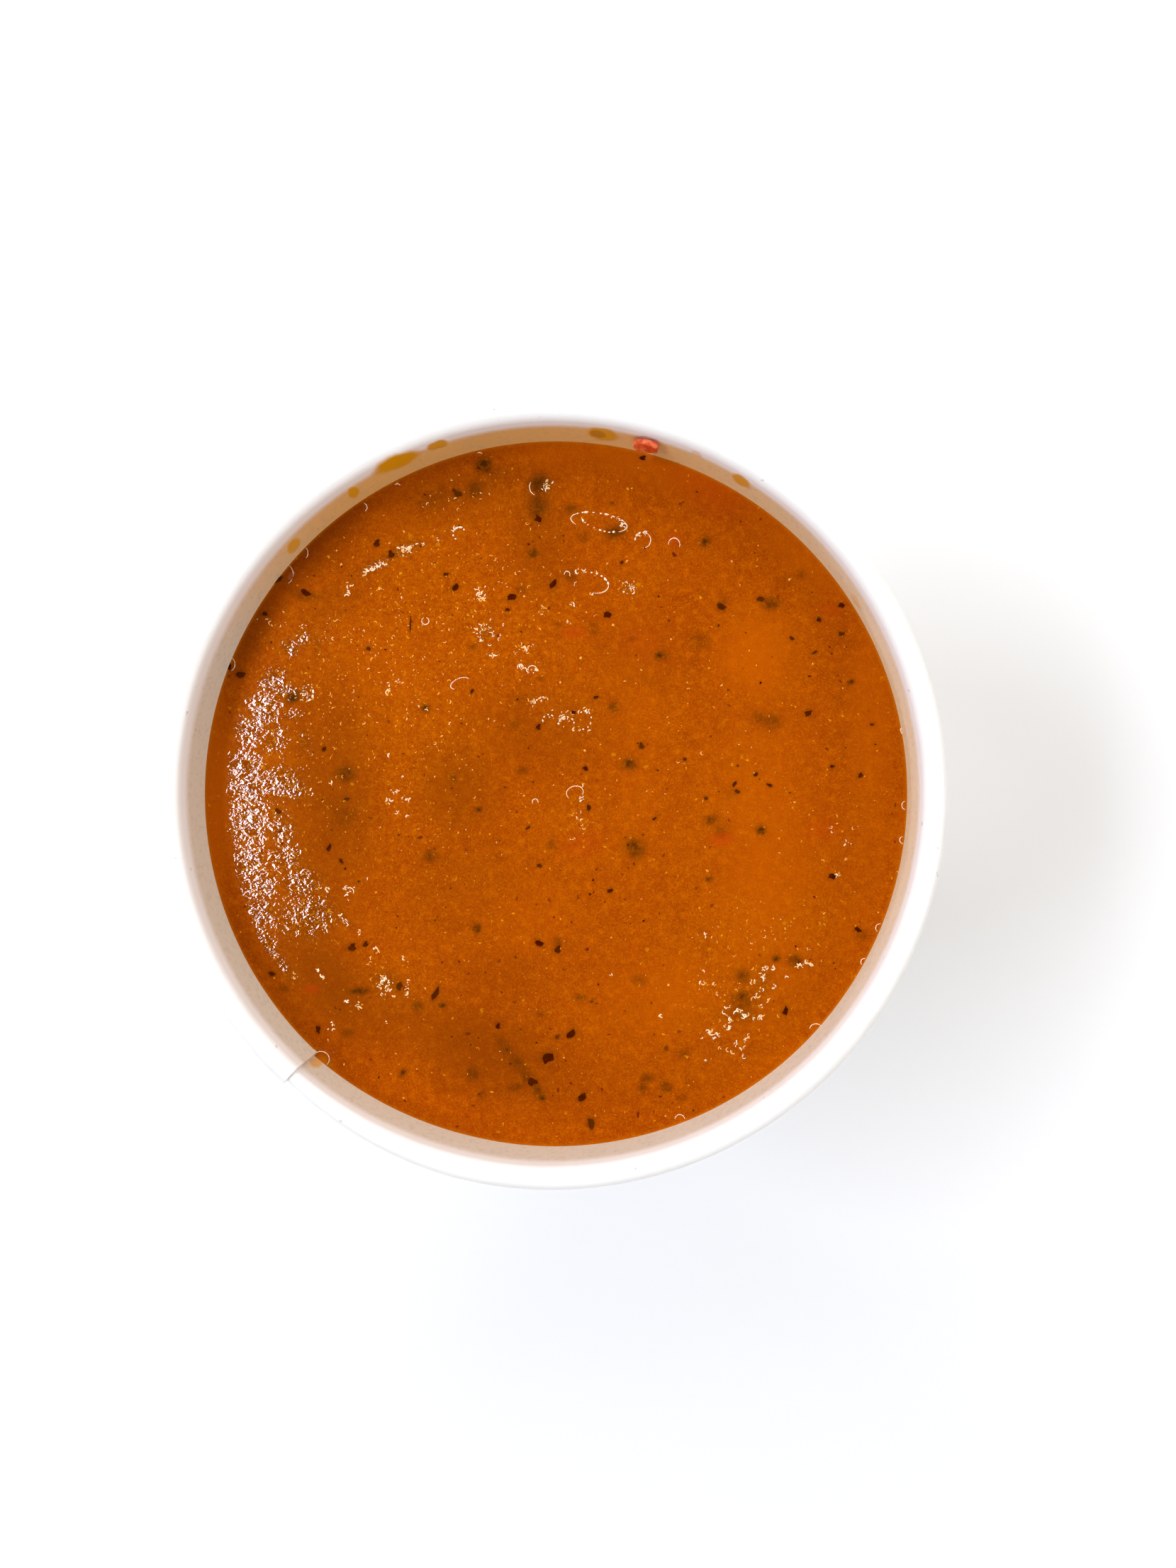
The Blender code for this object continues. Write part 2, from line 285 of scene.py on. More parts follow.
# %% [markdown]
# ## Helpers for Geometry Nodes
# Other forms grow from a node tree. It is run once on a starting mesh, the result is kept as a plain mesh,
# and the modifier goes away again.

# %% Geometry Nodes helpers
def grow(name, start, tree, values, finish):
    """Runs a Geometry Nodes tree on a mesh and keeps the result as a plain mesh."""
    source = add_piece("source", start)
    modifier = source.modifiers.new("grow", "NODES")
    modifier.node_group = tree
    for item in tree.interface.items_tree:
        if item.in_out == "INPUT" and item.name in values:
            modifier[item.identifier] = values[item.name]
    bpy.context.view_layer.update()
    graph = bpy.context.evaluated_depsgraph_get()
    mesh = bpy.data.meshes.new_from_object(source.evaluated_get(graph))
    source.modifiers.remove(modifier)
    bpy.data.objects.remove(source)
    mesh.name = name
    if not mesh.materials:
        mesh.materials.append(finish)
    return add_piece(name, mesh)


def new_geometry_tree(name, inputs):
    tree = bpy.data.node_groups.new(name, "GeometryNodeTree")
    tree.interface.new_socket("Geometry", in_out="INPUT", socket_type="NodeSocketGeometry")
    tree.interface.new_socket("Geometry", in_out="OUTPUT", socket_type="NodeSocketGeometry")
    for label, kind in inputs:
        tree.interface.new_socket(label, in_out="INPUT", socket_type="NodeSocket" + kind)
    nodes = Tree(tree)
    return tree, nodes, nodes.add("NodeGroupInput").outputs, nodes.add("NodeGroupOutput")


# %% [markdown]
# ## The sheet that makes the wall
# One strip of board forms the whole side. Its section is drawn as a list of point pairs, one on the soup's
# side and one on the back: the hem inside the foot, the fold it stands on, the long wall and the rim's roll.
# Each pair also says how much of the seam's step it takes, because the step fades out at the foot.

# %% Section of the sheet
ROLL_STEPS = 22
WALL_STEPS = 14
FOOT_FLAT_SHARE = 0.55
FOLD_SHOULDER = (0.93, -0.5)
SEAM_STARTS_AT = 3.0 * MM


def sheet_stations():
    """The sheet's section as (soup side, back side, share of the seam's step)."""
    out = Vector((math.cos(LEAN), -math.sin(LEAN)))
    fold = CLEARANCE + BOARD / 2
    outer = fold + BOARD
    bend = Vector((wall_inside(outer) - fold, outer))
    hem_end = Vector((wall_inside(HEM_HEIGHT) - 2 * fold, HEM_HEIGHT))
    stations = [(hem_end, hem_end - out * BOARD, 0.0)]
    for side in (-1, 1):
        corner = Vector((side * FOOT_FLAT_SHARE, -1))
        turn = [Vector((side, 0)), Vector((side * FOLD_SHOULDER[0], FOLD_SHOULDER[1])), corner]
        for ray in turn[::-side]:
            stations.append((bend + ray * fold, bend + ray * outer, 0.0))
    for step in range(WALL_STEPS):
        height = bend.y + (ROLL_CENTRE.y - bend.y) * step / WALL_STEPS
        inside = Vector((wall_inside(height), height))
        share = min(1.0, max(0.0, (height - bend.y) / (SEAM_STARTS_AT - bend.y)))
        if step:
            stations.append((inside, inside + out * BOARD, share))
    start = math.pi - LEAN
    for step in range(ROLL_STEPS + 1):
        angle = start + (ROLL_END - start) * step / ROLL_STEPS
        ray = Vector((math.cos(angle), math.sin(angle)))
        stations.append((ROLL_CENTRE + ray * ROLL_RADIUS, ROLL_CENTRE + ray * (ROLL_RADIUS - BOARD), 1.0))
    return stations


print("the section has", len(sheet_stations()), "pairs of points")

# %% [markdown]
# ## The sheet round the cup
# The section is set up at 300 columns round the axis, with extra ones where the board is cut. Plain mesh
# code does this, because the seam moves the two sides of the sheet by different amounts: past the cut the
# soup side steps back and returns slowly, and along the overlap the back is thicker.

# %% Columns of the sheet
COLUMNS = 300
CROWDED = 0.3 * math.tau / COLUMNS
CUT_EDGE = math.radians(0.1)
SHEET_CREASE = 35
WAVE_DEPTH = 0.05 * MM
WAVES_ROUND = 1.5
WAVE_SEED = 3.0


def sheet_columns():
    """The columns round the cup as (angle, recess of the soup side, extra on the back)."""
    edge = SEAM_ANGLE - SEAM_OVERLAP
    cut = SEAM_ANGLE + CUT_EDGE
    columns = [(edge - CUT_EDGE, 0.0, 0.0), (edge, 0.0, SEAM_STEP), (SEAM_ANGLE, 0.0, SEAM_STEP)]
    columns.append((cut, seam_recess(cut), seam_recess(cut)))
    for i in range(COLUMNS):
        angle = math.tau * i / COLUMNS
        if min(abs(angle - edge), abs(angle - cut)) < CROWDED:
            continue
        doubled = edge < angle < SEAM_ANGLE
        recess = seam_recess(angle)
        columns.append((angle, recess, SEAM_STEP if doubled else recess))
    return sorted(columns)


def rim_wave(angle, height):
    """Board is never quite round: a slow wave that grows towards the rim."""
    wave = noise.noise(Vector((math.cos(angle) * WAVES_ROUND, math.sin(angle) * WAVES_ROUND, WAVE_SEED)))
    return WAVE_DEPTH * wave * height / CUP_HEIGHT


def make_sheet(finish):
    stations = sheet_stations()
    columns = sheet_columns()
    points = []
    count = 2 * len(stations)
    inside = [float(near.x < ROLL_CENTRE.x) for near, far, share in stations] + [0.0] * len(stations)
    for angle, recess, extra in columns:
        front, back = [], []
        for near, far, share in stations:
            away = (far - near).normalized()
            front.append(near + away * recess * share)
            back.append(far + away * extra * share)
        for radius, height in front + back[::-1]:
            radius -= abs(rim_wave(angle, height))
            points.append((radius * math.cos(angle), radius * math.sin(angle), height))
    faces = []
    for column in range(len(columns)):
        here, there = column * count, (column + 1) % len(columns) * count
        for k in range(count):
            after = (k + 1) % count
            faces.append((here + k, there + k, there + after, here + after))
    mesh = mesh_of("cup_sheet", points, faces, SHEET_CREASE)
    keep(mesh, "inside", inside * len(columns))
    return add_piece("cup_sheet", mesh, finish)


print("the sheet has", len(sheet_columns()), "columns")


# %% [markdown]
# ## Splashes on the wall
# Soup has splashed the wall above its surface. Thin sauce soaks in and has no thickness to model, so each
# splash is a value in the board's finish: a soft-edged ellipse in the wall's own frame, laid where the
# photograph shows it.

# %% Splashes
# Each splash: pixel in the photograph, length and height in mm, turn in degrees, strength
SPLASHES = (
    (560, 651, 7.2, 4.4, 2, 1.0), (617, 627, 2.9, 2.7, 10, 0.95), (499, 694, 1.8, 3.9, 5, 0.95),
    (414, 770, 2.6, 3.3, 20, 0.85), (850, 612, 4.5, 4.6, -4, 0.9), (983, 640, 1.8, 2.0, 0, 0.35),
    (1045, 677, 3.0, 3.4, -6, 0.9), (1208, 848, 2.6, 2.0, 0, 0.55), (450, 1494, 1.9, 5.0, 0, 0.75),
)
DARK_SPOT = (843, 612, 2.4, 2.6, 30, 0.5)
SPLASH_REACH = 2 * MM
SPLASH_SOFT, SPLASH_FULL = 1.1, 0.62


def splash_mask(nodes, place, splash):
    """Its strength inside a splash, 0 outside, with a ragged soft edge."""
    px, py, length, height, turn, strength = splash
    centre = on_wall(px, py)
    round_axis = math.atan2(centre.y, centre.x)
    seat = Matrix.Rotation(round_axis, 4, "Z") @ Matrix.Rotation(math.radians(turn), 4, "X")
    sent = {"Vector": place, "Location": centre, "Rotation": seat.to_euler(),
            "Scale": (SPLASH_REACH, length / 2 * MM, height / 2 * MM)}
    local = nodes.add("ShaderNodeMapping", sent, vector_type="TEXTURE").outputs["Vector"]
    return nodes.spread(nodes.vector("LENGTH", local, output="Value"), SPLASH_SOFT, SPLASH_FULL, 0.0, strength)


print(len(SPLASHES), "splashes")

# %% [markdown]
# ## Board
# Cup board is bleached pulp with a thin film on the inside. Close up it isn't one white: there are faint
# clouds where the fibres lie thicker, a few brown specks, and a fine tooth that breaks up the shine. Inside,
# below the rim, it is darkened and warmed as painted shade, greyer fibres show, and the soup's glow is
# painted on it, most on the far side. The sheet carries a value that says what is inside, so its back stays
# plain and a little greyer.

# %% Board finish
BOARD_WHITE = (0.90, 0.88, 0.85)
BOARD_CLOUD = (0.88, 0.855, 0.82)
BOARD_OUTSIDE = (0.80, 0.785, 0.76)
# Painted shade with the soup's glow, for the inner wall below the rim
INNER_WALL_SHADE = (0.69, 0.60, 0.475)
# Painted glow of the soup's light on the wall: tan on the far side, beige on the right
SOUP_GLOW_TAN = (0.78, 0.39, 0.06)
SOUP_GLOW_BEIGE = (0.80, 0.53, 0.22)
SPECK_BROWN = (0.36, 0.22, 0.12)
FIBRE_GREY = (0.40, 0.31, 0.24)
SPLASH_AMBER = (0.70, 0.31, 0.003)
SPLASH_DARK = (0.30, 0.10, 0.01)
# Painted glow of the soup on the sides of the wall: direction, colour, cosine where it starts and where it is
# full, share
SOUP_GLOW_SIDES = ((math.radians(100), SOUP_GLOW_TAN, 0.5, 0.96, 0.82), (math.radians(25), SOUP_GLOW_BEIGE, 0.3, 0.95, 0.55))
# Where the painted shade of the inner wall starts and where it is full, below the rim
INNER_SHADE_STARTS, INNER_SHADE_FULL = 1.8 * MM, 3.5 * MM
BOARD_GLOSS, SPLASH_GLOSS = 0.42, 0.2
TOOTH_DEPTH, SPLASH_THICKNESS = 0.02 * MM, 3.0


def paint_soup_glow(nodes, colour, place, where):
    """Paints the soup's glow over the side of the wall that faces each tint's direction."""
    split = nodes.split(place)
    flat = nodes.add("ShaderNodeCombineXYZ", {0: split[0], 1: split[1]}).outputs[0]
    radius = nodes.vector("LENGTH", flat, output="Value")
    for side, tint, low, high, share in SOUP_GLOW_SIDES:
        towards = nodes.vector("DOT_PRODUCT", flat, (math.cos(side), math.sin(side), 0.0), output="Value")
        facing = nodes.spread(nodes.math("DIVIDE", towards, radius), low, high, 0.0, share)
        colour = nodes.mix(nodes.math("MULTIPLY", facing, where), colour, tint)
    return colour


def make_board():
    board, nodes, shader, place = finish_named("cup_board", BOARD_GLOSS, Coat_Weight=0.12, Coat_Roughness=0.25)
    colour = nodes.mix(nodes.spread(nodes.noise(place, 5 * MM, 4.0), 0.35, 0.7), BOARD_WHITE, BOARD_CLOUD)
    wetted = nodes.stored("inside")
    below = nodes.spread(nodes.split(place)[2], CUP_HEIGHT - INNER_SHADE_STARTS, CUP_HEIGHT - INNER_SHADE_FULL)
    outside = nodes.math("MULTIPLY", nodes.math("SUBTRACT", 1.0, wetted), below)
    inner_wall = nodes.math("MULTIPLY", wetted, below)
    colour = nodes.mix(outside, colour, BOARD_OUTSIDE)
    # Painted shade on the inner wall below the rim, then the soup's painted glow on its sides
    colour = paint_soup_glow(nodes, nodes.mix(inner_wall, colour, INNER_WALL_SHADE), place, inner_wall)
    fibres = nodes.spread(nodes.noise(place, 0.7 * MM, 4.0, 0.65), 0.46, 0.72, 0.0, 0.3)
    colour = nodes.mix(nodes.math("MULTIPLY", fibres, inner_wall), colour, FIBRE_GREY)
    specks = nodes.spread(nodes.noise(place, 1.3 * MM, 2.0, 0.6), 0.70, 0.78, 0.0, 0.5)
    colour = nodes.mix(specks, colour, SPECK_BROWN)

    torn = nodes.jumbled(place, 1.6 * MM, 3.0, 0.9 * MM)
    stain = splash_mask(nodes, torn, SPLASHES[0])
    for splash in SPLASHES[1:]:
        stain = nodes.math("MAXIMUM", stain, splash_mask(nodes, torn, splash))
    stain = nodes.math("MULTIPLY", stain, wetted)
    dark = nodes.math("MULTIPLY", splash_mask(nodes, torn, DARK_SPOT), wetted)
    wire(nodes, shader, "Base Color", nodes.mix(dark, nodes.mix(stain, colour, SPLASH_AMBER), SPLASH_DARK))
    wire(nodes, shader, "Roughness", nodes.spread(stain, 0.0, 1.0, BOARD_GLOSS, SPLASH_GLOSS))
    tooth = nodes.noise(place, 0.35 * MM, 4.0, 0.6)
    raised = nodes.math("ADD", tooth, nodes.math("MULTIPLY", stain, SPLASH_THICKNESS))
    bump(nodes, shader, raised, TOOTH_DEPTH)
    return board


board = make_board()
sheet = make_sheet(board)
print("cup_sheet:", len(sheet.data.polygons), "faces")

# %% [markdown]
# ## Base
# The base is a round of board pressed into a shallow cap. Its flange hangs in the fold of the wall, so from
# below we see a recessed disc. A cap is a section turned round an axis: the same points are set up at each
# step of the turn, and two round faces close it.

# %% Base
FLANGE_FOOT = 1.1 * MM
BASE_CORNER = 0.8 * MM
CORNER_STEPS = 6
AXIS_GAP = 0.2 * MM
BASE_SIDES = 240
BASE_CREASE = 30


def base_section():
    """The cap's section from the axis, out over the top, down the flange and back under."""
    under = BASE_HEIGHT - BOARD
    corner = wall_inside(BASE_HEIGHT - BASE_CORNER) - CLEARANCE - BASE_CORNER
    points = [(AXIS_GAP, BASE_HEIGHT)]
    for step in range(CORNER_STEPS + 1):
        turn = math.pi / 2 * (1 - step / CORNER_STEPS)
        points.append((corner + BASE_CORNER * math.cos(turn), BASE_HEIGHT - BASE_CORNER * (1 - math.sin(turn))))
    inner = CLEARANCE + BOARD
    points.append((wall_inside(FLANGE_FOOT) - CLEARANCE, FLANGE_FOOT))
    points.append((wall_inside(FLANGE_FOOT) - inner, FLANGE_FOOT))
    points.append((wall_inside(under - BOARD) - inner, under - BOARD))
    points.append((wall_inside(under) - inner - BOARD, under))
    points.append((AXIS_GAP, under))
    return points


def make_base(finish):
    section = base_section()
    points, faces = [], []
    for i in range(BASE_SIDES):
        angle = math.tau * i / BASE_SIDES
        points += [(r * math.cos(angle), r * math.sin(angle), z) for r, z in section]
    count = len(section)
    for i in range(BASE_SIDES):
        here, there = i * count, (i + 1) % BASE_SIDES * count
        faces += [(here + k, there + k, there + k + 1, here + k + 1) for k in range(count - 1)]
    faces.append([i * count for i in range(BASE_SIDES)])
    faces.append([i * count + count - 1 for i in range(BASE_SIDES)][::-1])
    return add_piece("cup_floor", mesh_of("cup_floor", points, faces, BASE_CREASE), finish)


base = make_base(board)
print("cup_floor:", len(base.data.polygons), "faces")

# %% [markdown]
# ## The soup's level
# The soup fills the cup up to about 8 mm below the rim. Its surface is still but not quite flat: it swells a
# little from place to place and climbs the wall where it wets it. One function gives its height anywhere,
# so that whatever floats can be laid on it.

# %% Soup level
SOUP_LEVEL = CUP_HEIGHT - 7.8 * MM
SOUP_EDGE = wall_inside(SOUP_LEVEL) + 0.06 * MM
SOUP_FLOOR = BASE_HEIGHT + CLEARANCE
MENISCUS_RISE = 0.30 * MM
MENISCUS_REACH = 1.0 * MM
SWELL_DEPTH = 0.02 * MM
SWELL_SPAN = 7.0 * MM


def soup_height(x, y):
    """Height of the still surface: a slow swell, and the climb at the wall."""
    swell = SWELL_DEPTH * noise.noise(Vector((x, y, 0.0)) / SWELL_SPAN)
    inward = SOUP_EDGE - math.hypot(x, y)
    return SOUP_LEVEL + swell + MENISCUS_RISE * math.exp(-inward / MENISCUS_REACH)


def on_soup(px, py):
    """The point of the soup's surface that the photograph shows at a pixel."""
    point = on_level(px, py, SOUP_LEVEL)
    point.z = soup_height(point.x, point.y)
    return point


print("the soup stands", round((CUP_HEIGHT - SOUP_LEVEL) / MM, 1), "mm below the rim")

# %% [markdown]
# ## Pouring the soup
# A square grid pressed into a disc gives even quads everywhere, which a fan of rings doesn't. The Geometry
# Nodes tree makes that grid, lets it follow the seam's step, lifts its edge, then draws the edge down to the
# floor and closes it.

# %% Pouring tree
SOUP_QUADS = 300
SOUP_LEAD = math.radians(0.5)
SEAM_CLEAR = 0.001 * SOUP_LEAD
FIRST_PULL = 1 * MM
WELD = 0.001 * MM


def soup_tree():
    labels = ("Radius", "Floor radius", "Level", "Floor", "Rise", "Reach")
    inputs = [(label, "Float") for label in labels] + [("Quads", "Int"), ("Finish", "Material")]
    tree, g, given, out = new_geometry_tree("pour the soup", inputs)
    lines = g.math("ADD", given["Quads"], 1.0)
    sides = {"Size X": 2.0, "Size Y": 2.0, "Vertices X": lines, "Vertices Y": lines}
    grid = g.add("GeometryNodeMeshGrid", sides).outputs["Mesh"]
    split = g.split(g.add("GeometryNodeInputPosition").outputs[0])

    def pressed(one, other):
        square = g.math("MULTIPLY", other, other)
        return g.math("MULTIPLY", one, g.math("SQRT", g.math("SUBTRACT", 1.0, g.math("MULTIPLY", square, 0.5))))

    x, y = pressed(split[0], split[1]), pressed(split[1], split[0])
    share = g.math("SQRT", g.math("ADD", g.math("MULTIPLY", x, x), g.math("MULTIPLY", y, y)))

    def recess_at(px, py):
        past = g.math("SUBTRACT", g.math("ARCTAN2", py, px), SEAM_ANGLE - SOUP_LEAD - 2 * math.tau)
        past = g.math("MODULO", past, math.tau)
        left = g.spread(past, SOUP_LEAD, SOUP_LEAD + SEAM_FADE, 1.0, 0.0, "LINEAR")
        fade = g.math("POWER", left, SEAM_FADE_POWER)
        clear = g.math("GREATER_THAN", past, SEAM_CLEAR)
        return g.math("MULTIPLY", g.math("MULTIPLY", fade, clear), SEAM_STEP)

    reach = g.math("ADD", given["Radius"], g.math("MULTIPLY", recess_at(x, y), share))
    inward = g.math("SUBTRACT", given["Radius"], g.math("MULTIPLY", given["Radius"], share))
    climb = g.math("EXPONENT", g.math("DIVIDE", g.math("MULTIPLY", inward, -1.0), given["Reach"]))
    height = g.math("ADD", given["Level"], g.math("MULTIPLY", climb, given["Rise"]))
    place = g.add("ShaderNodeCombineXYZ", {
        0: g.math("MULTIPLY", x, reach), 1: g.math("MULTIPLY", y, reach), 2: height}).outputs[0]
    disc = g.add("GeometryNodeSetPosition", {"Geometry": grid, "Position": place}).outputs[0]

    neighbours = g.add("GeometryNodeInputMeshEdgeNeighbors").outputs[0]
    rim = g.math("LESS_THAN", neighbours, 1.5)
    side = g.add("GeometryNodeExtrudeMesh", {
        "Mesh": disc, "Selection": rim, "Offset Scale": FIRST_PULL}, mode="EDGES")
    at = g.split(g.add("GeometryNodeInputPosition").outputs[0])
    turn = g.math("ARCTAN2", at[1], at[0])
    radius = g.math("ADD", given["Floor radius"], recess_at(at[0], at[1]))
    foot = g.add("ShaderNodeCombineXYZ", {
        0: g.math("MULTIPLY", g.math("COSINE", turn), radius),
        1: g.math("MULTIPLY", g.math("SINE", turn), radius),
        2: given["Floor"],
    }).outputs[0]
    walled = g.add("GeometryNodeSetPosition", {
        "Geometry": side.outputs["Mesh"], "Selection": side.outputs["Top"], "Position": foot}).outputs[0]
    under = g.add("GeometryNodeExtrudeMesh", {
        "Mesh": walled, "Selection": side.outputs["Top"], "Offset Scale": FIRST_PULL}, mode="EDGES")
    middle = g.add("ShaderNodeCombineXYZ", {2: given["Floor"]}).outputs[0]
    closed = g.add("GeometryNodeSetPosition", {
        "Geometry": under.outputs["Mesh"], "Selection": under.outputs["Top"], "Position": middle}).outputs[0]
    merged = g.add("GeometryNodeMergeByDistance", {"Geometry": closed, "Distance": WELD}).outputs[0]
    real = g.add("GeometryNodeRealizeInstances", {"Geometry": merged}).outputs[0]
    dressed = g.add("GeometryNodeSetMaterial", {"Geometry": real, "Material": given["Finish"]}).outputs[0]
    tree.links.new(dressed, out.inputs[0])
    return tree


print("the soup's disc is", round(2 * SOUP_EDGE / MM, 1), "mm across")

# %% [markdown]
# ## What shows through the soup
# Many herb leaves lie under the surface, so they read as soft olive or brown clouds, not as things with an
# edge. They could be meshes under clear liquid, but this soup is cloudy, so they are kept as a value on the
# soup's own points: each row is a soft ellipse. The places were read from the photograph, in pixels.

# %% Sunken leaves
PIXELS_PER_MM = 10.94
PIXEL = 1 / PIXELS_PER_MM * MM
# Each leaf: pixel, half length and half width in pixels, turn in degrees, darkness
SUNKEN = (
    (683, 657, 12, 11, 0, 1.0), (670, 690, 13, 13, 0, 0.55), (760, 684, 15, 16, 0, 0.75),
    (760, 714, 14, 19, 0, 0.65), (752, 780, 8, 7, 0, 0.7), (737, 831, 8, 6, 0, 0.4), (600, 999, 8, 8, 0, 0.5),
    (414, 984, 12, 9, 30, 0.8), (488, 1092, 13, 11, 0, 0.7), (487, 1150, 18, 22, 0, 0.25),
    (995, 764, 9, 9, 0, 0.6), (1130, 810, 8, 7, 0, 0.4), (1087, 851, 13, 9, -10, 0.7),
    (988, 905, 14, 12, 0, 0.35), (1071, 1012, 11, 9, 0, 0.5), (1088, 1018, 14, 12, 0, 0.5),
    (888, 1077, 12, 9, 0, 0.7), (607, 1208, 11, 9, 0, 0.6), (778, 1191, 8, 8, 0, 0.4),
    (1003, 1157, 11, 7, 0, 0.6), (1018, 1171, 10, 9, 0, 0.4), (1073, 1171, 8, 7, 0, 0.7),
    (896, 1197, 13, 15, 30, 0.75), (589, 1420, 9, 9, 0, 0.5), (667, 1515, 8, 9, 0, 0.65),
    (679, 1545, 7, 7, 0, 0.35), (833, 1583, 7, 9, 0, 0.5), (913, 1521, 9, 7, 20, 0.6), (907, 1535, 6, 8, 0, 0.6),
    (940, 1534, 8, 9, 50, 0.6), (962, 1549, 7, 5, 20, 0.4), (964, 1486, 8, 6, 0, 0.45),
    (902, 1382, 11, 8, 0, 0.4), (1048, 1377, 11, 11, 0, 0.6), (1048, 1412, 16, 14, 0, 0.55),
    (712, 1478, 17, 8, -52, 0.4), (730, 1500, 17, 8, -52, 0.5), (742, 1518, 10, 8, -60, 0.5),
    (728, 1533, 12, 5, 12, 0.5), (758, 1537, 15, 7, -60, 0.6), (763, 1431, 9, 6, 0, 0.35),
    (818, 1407, 10, 6, 0, 0.45), (787, 1330, 7, 8, 0, 0.5), (1216, 1318, 10, 8, -20, 0.4),
    (490, 1458, 9, 6, 20, 0.45), (401, 1394, 7, 5, 0, 0.4), (1122, 1356, 10, 8, 0, 0.5), (644, 696, 7, 9, 0, 0.4),
    (700, 668, 14, 12, 0, 0.2), (612, 700, 25, 16, 20, 0.25), (1035, 1120, 9, 8, 0, 0.3),
    (431, 840, 16, 8, -10, 0.5), (1018, 850, 8, 8, 0, 0.4), (737, 985, 14, 12, 0, 0.2), (935, 925, 9, 8, 0, 0.35),
    (669, 913, 6, 5, 0, 0.5), (764, 958, 5, 4, 0, 0.45), (737, 1087, 8, 6, 0, 0.5), (727, 1021, 10, 8, 0, 0.25),
    (839, 886, 8, 8, 0, 0.4), (865, 997, 8, 7, 0, 0.6), (787, 881, 5, 4, 0, 0.5), (891, 902, 5, 3, 0, 0.4),
    (641, 1097, 4, 5, 0, 0.6), (868, 750, 16, 9, 10, 0.7), (807, 719, 9, 7, 0, 0.6), (824, 758, 10, 8, 0, 0.35),
    (806, 813, 10, 8, 0, 0.5), (864, 710, 4, 3, 0, 0.7),
)
print(len(SUNKEN), "sunken leaves")

# %% [markdown]
# ## Leaves at the surface
# The leaves on top are dark, olive or red, with an edge. The red and dark ones become thin plates later. The
# olive ones are soaked and lie flat in the surface, so they are clouds too, and every plate gets a faint halo
# where the liquid round it darkens.

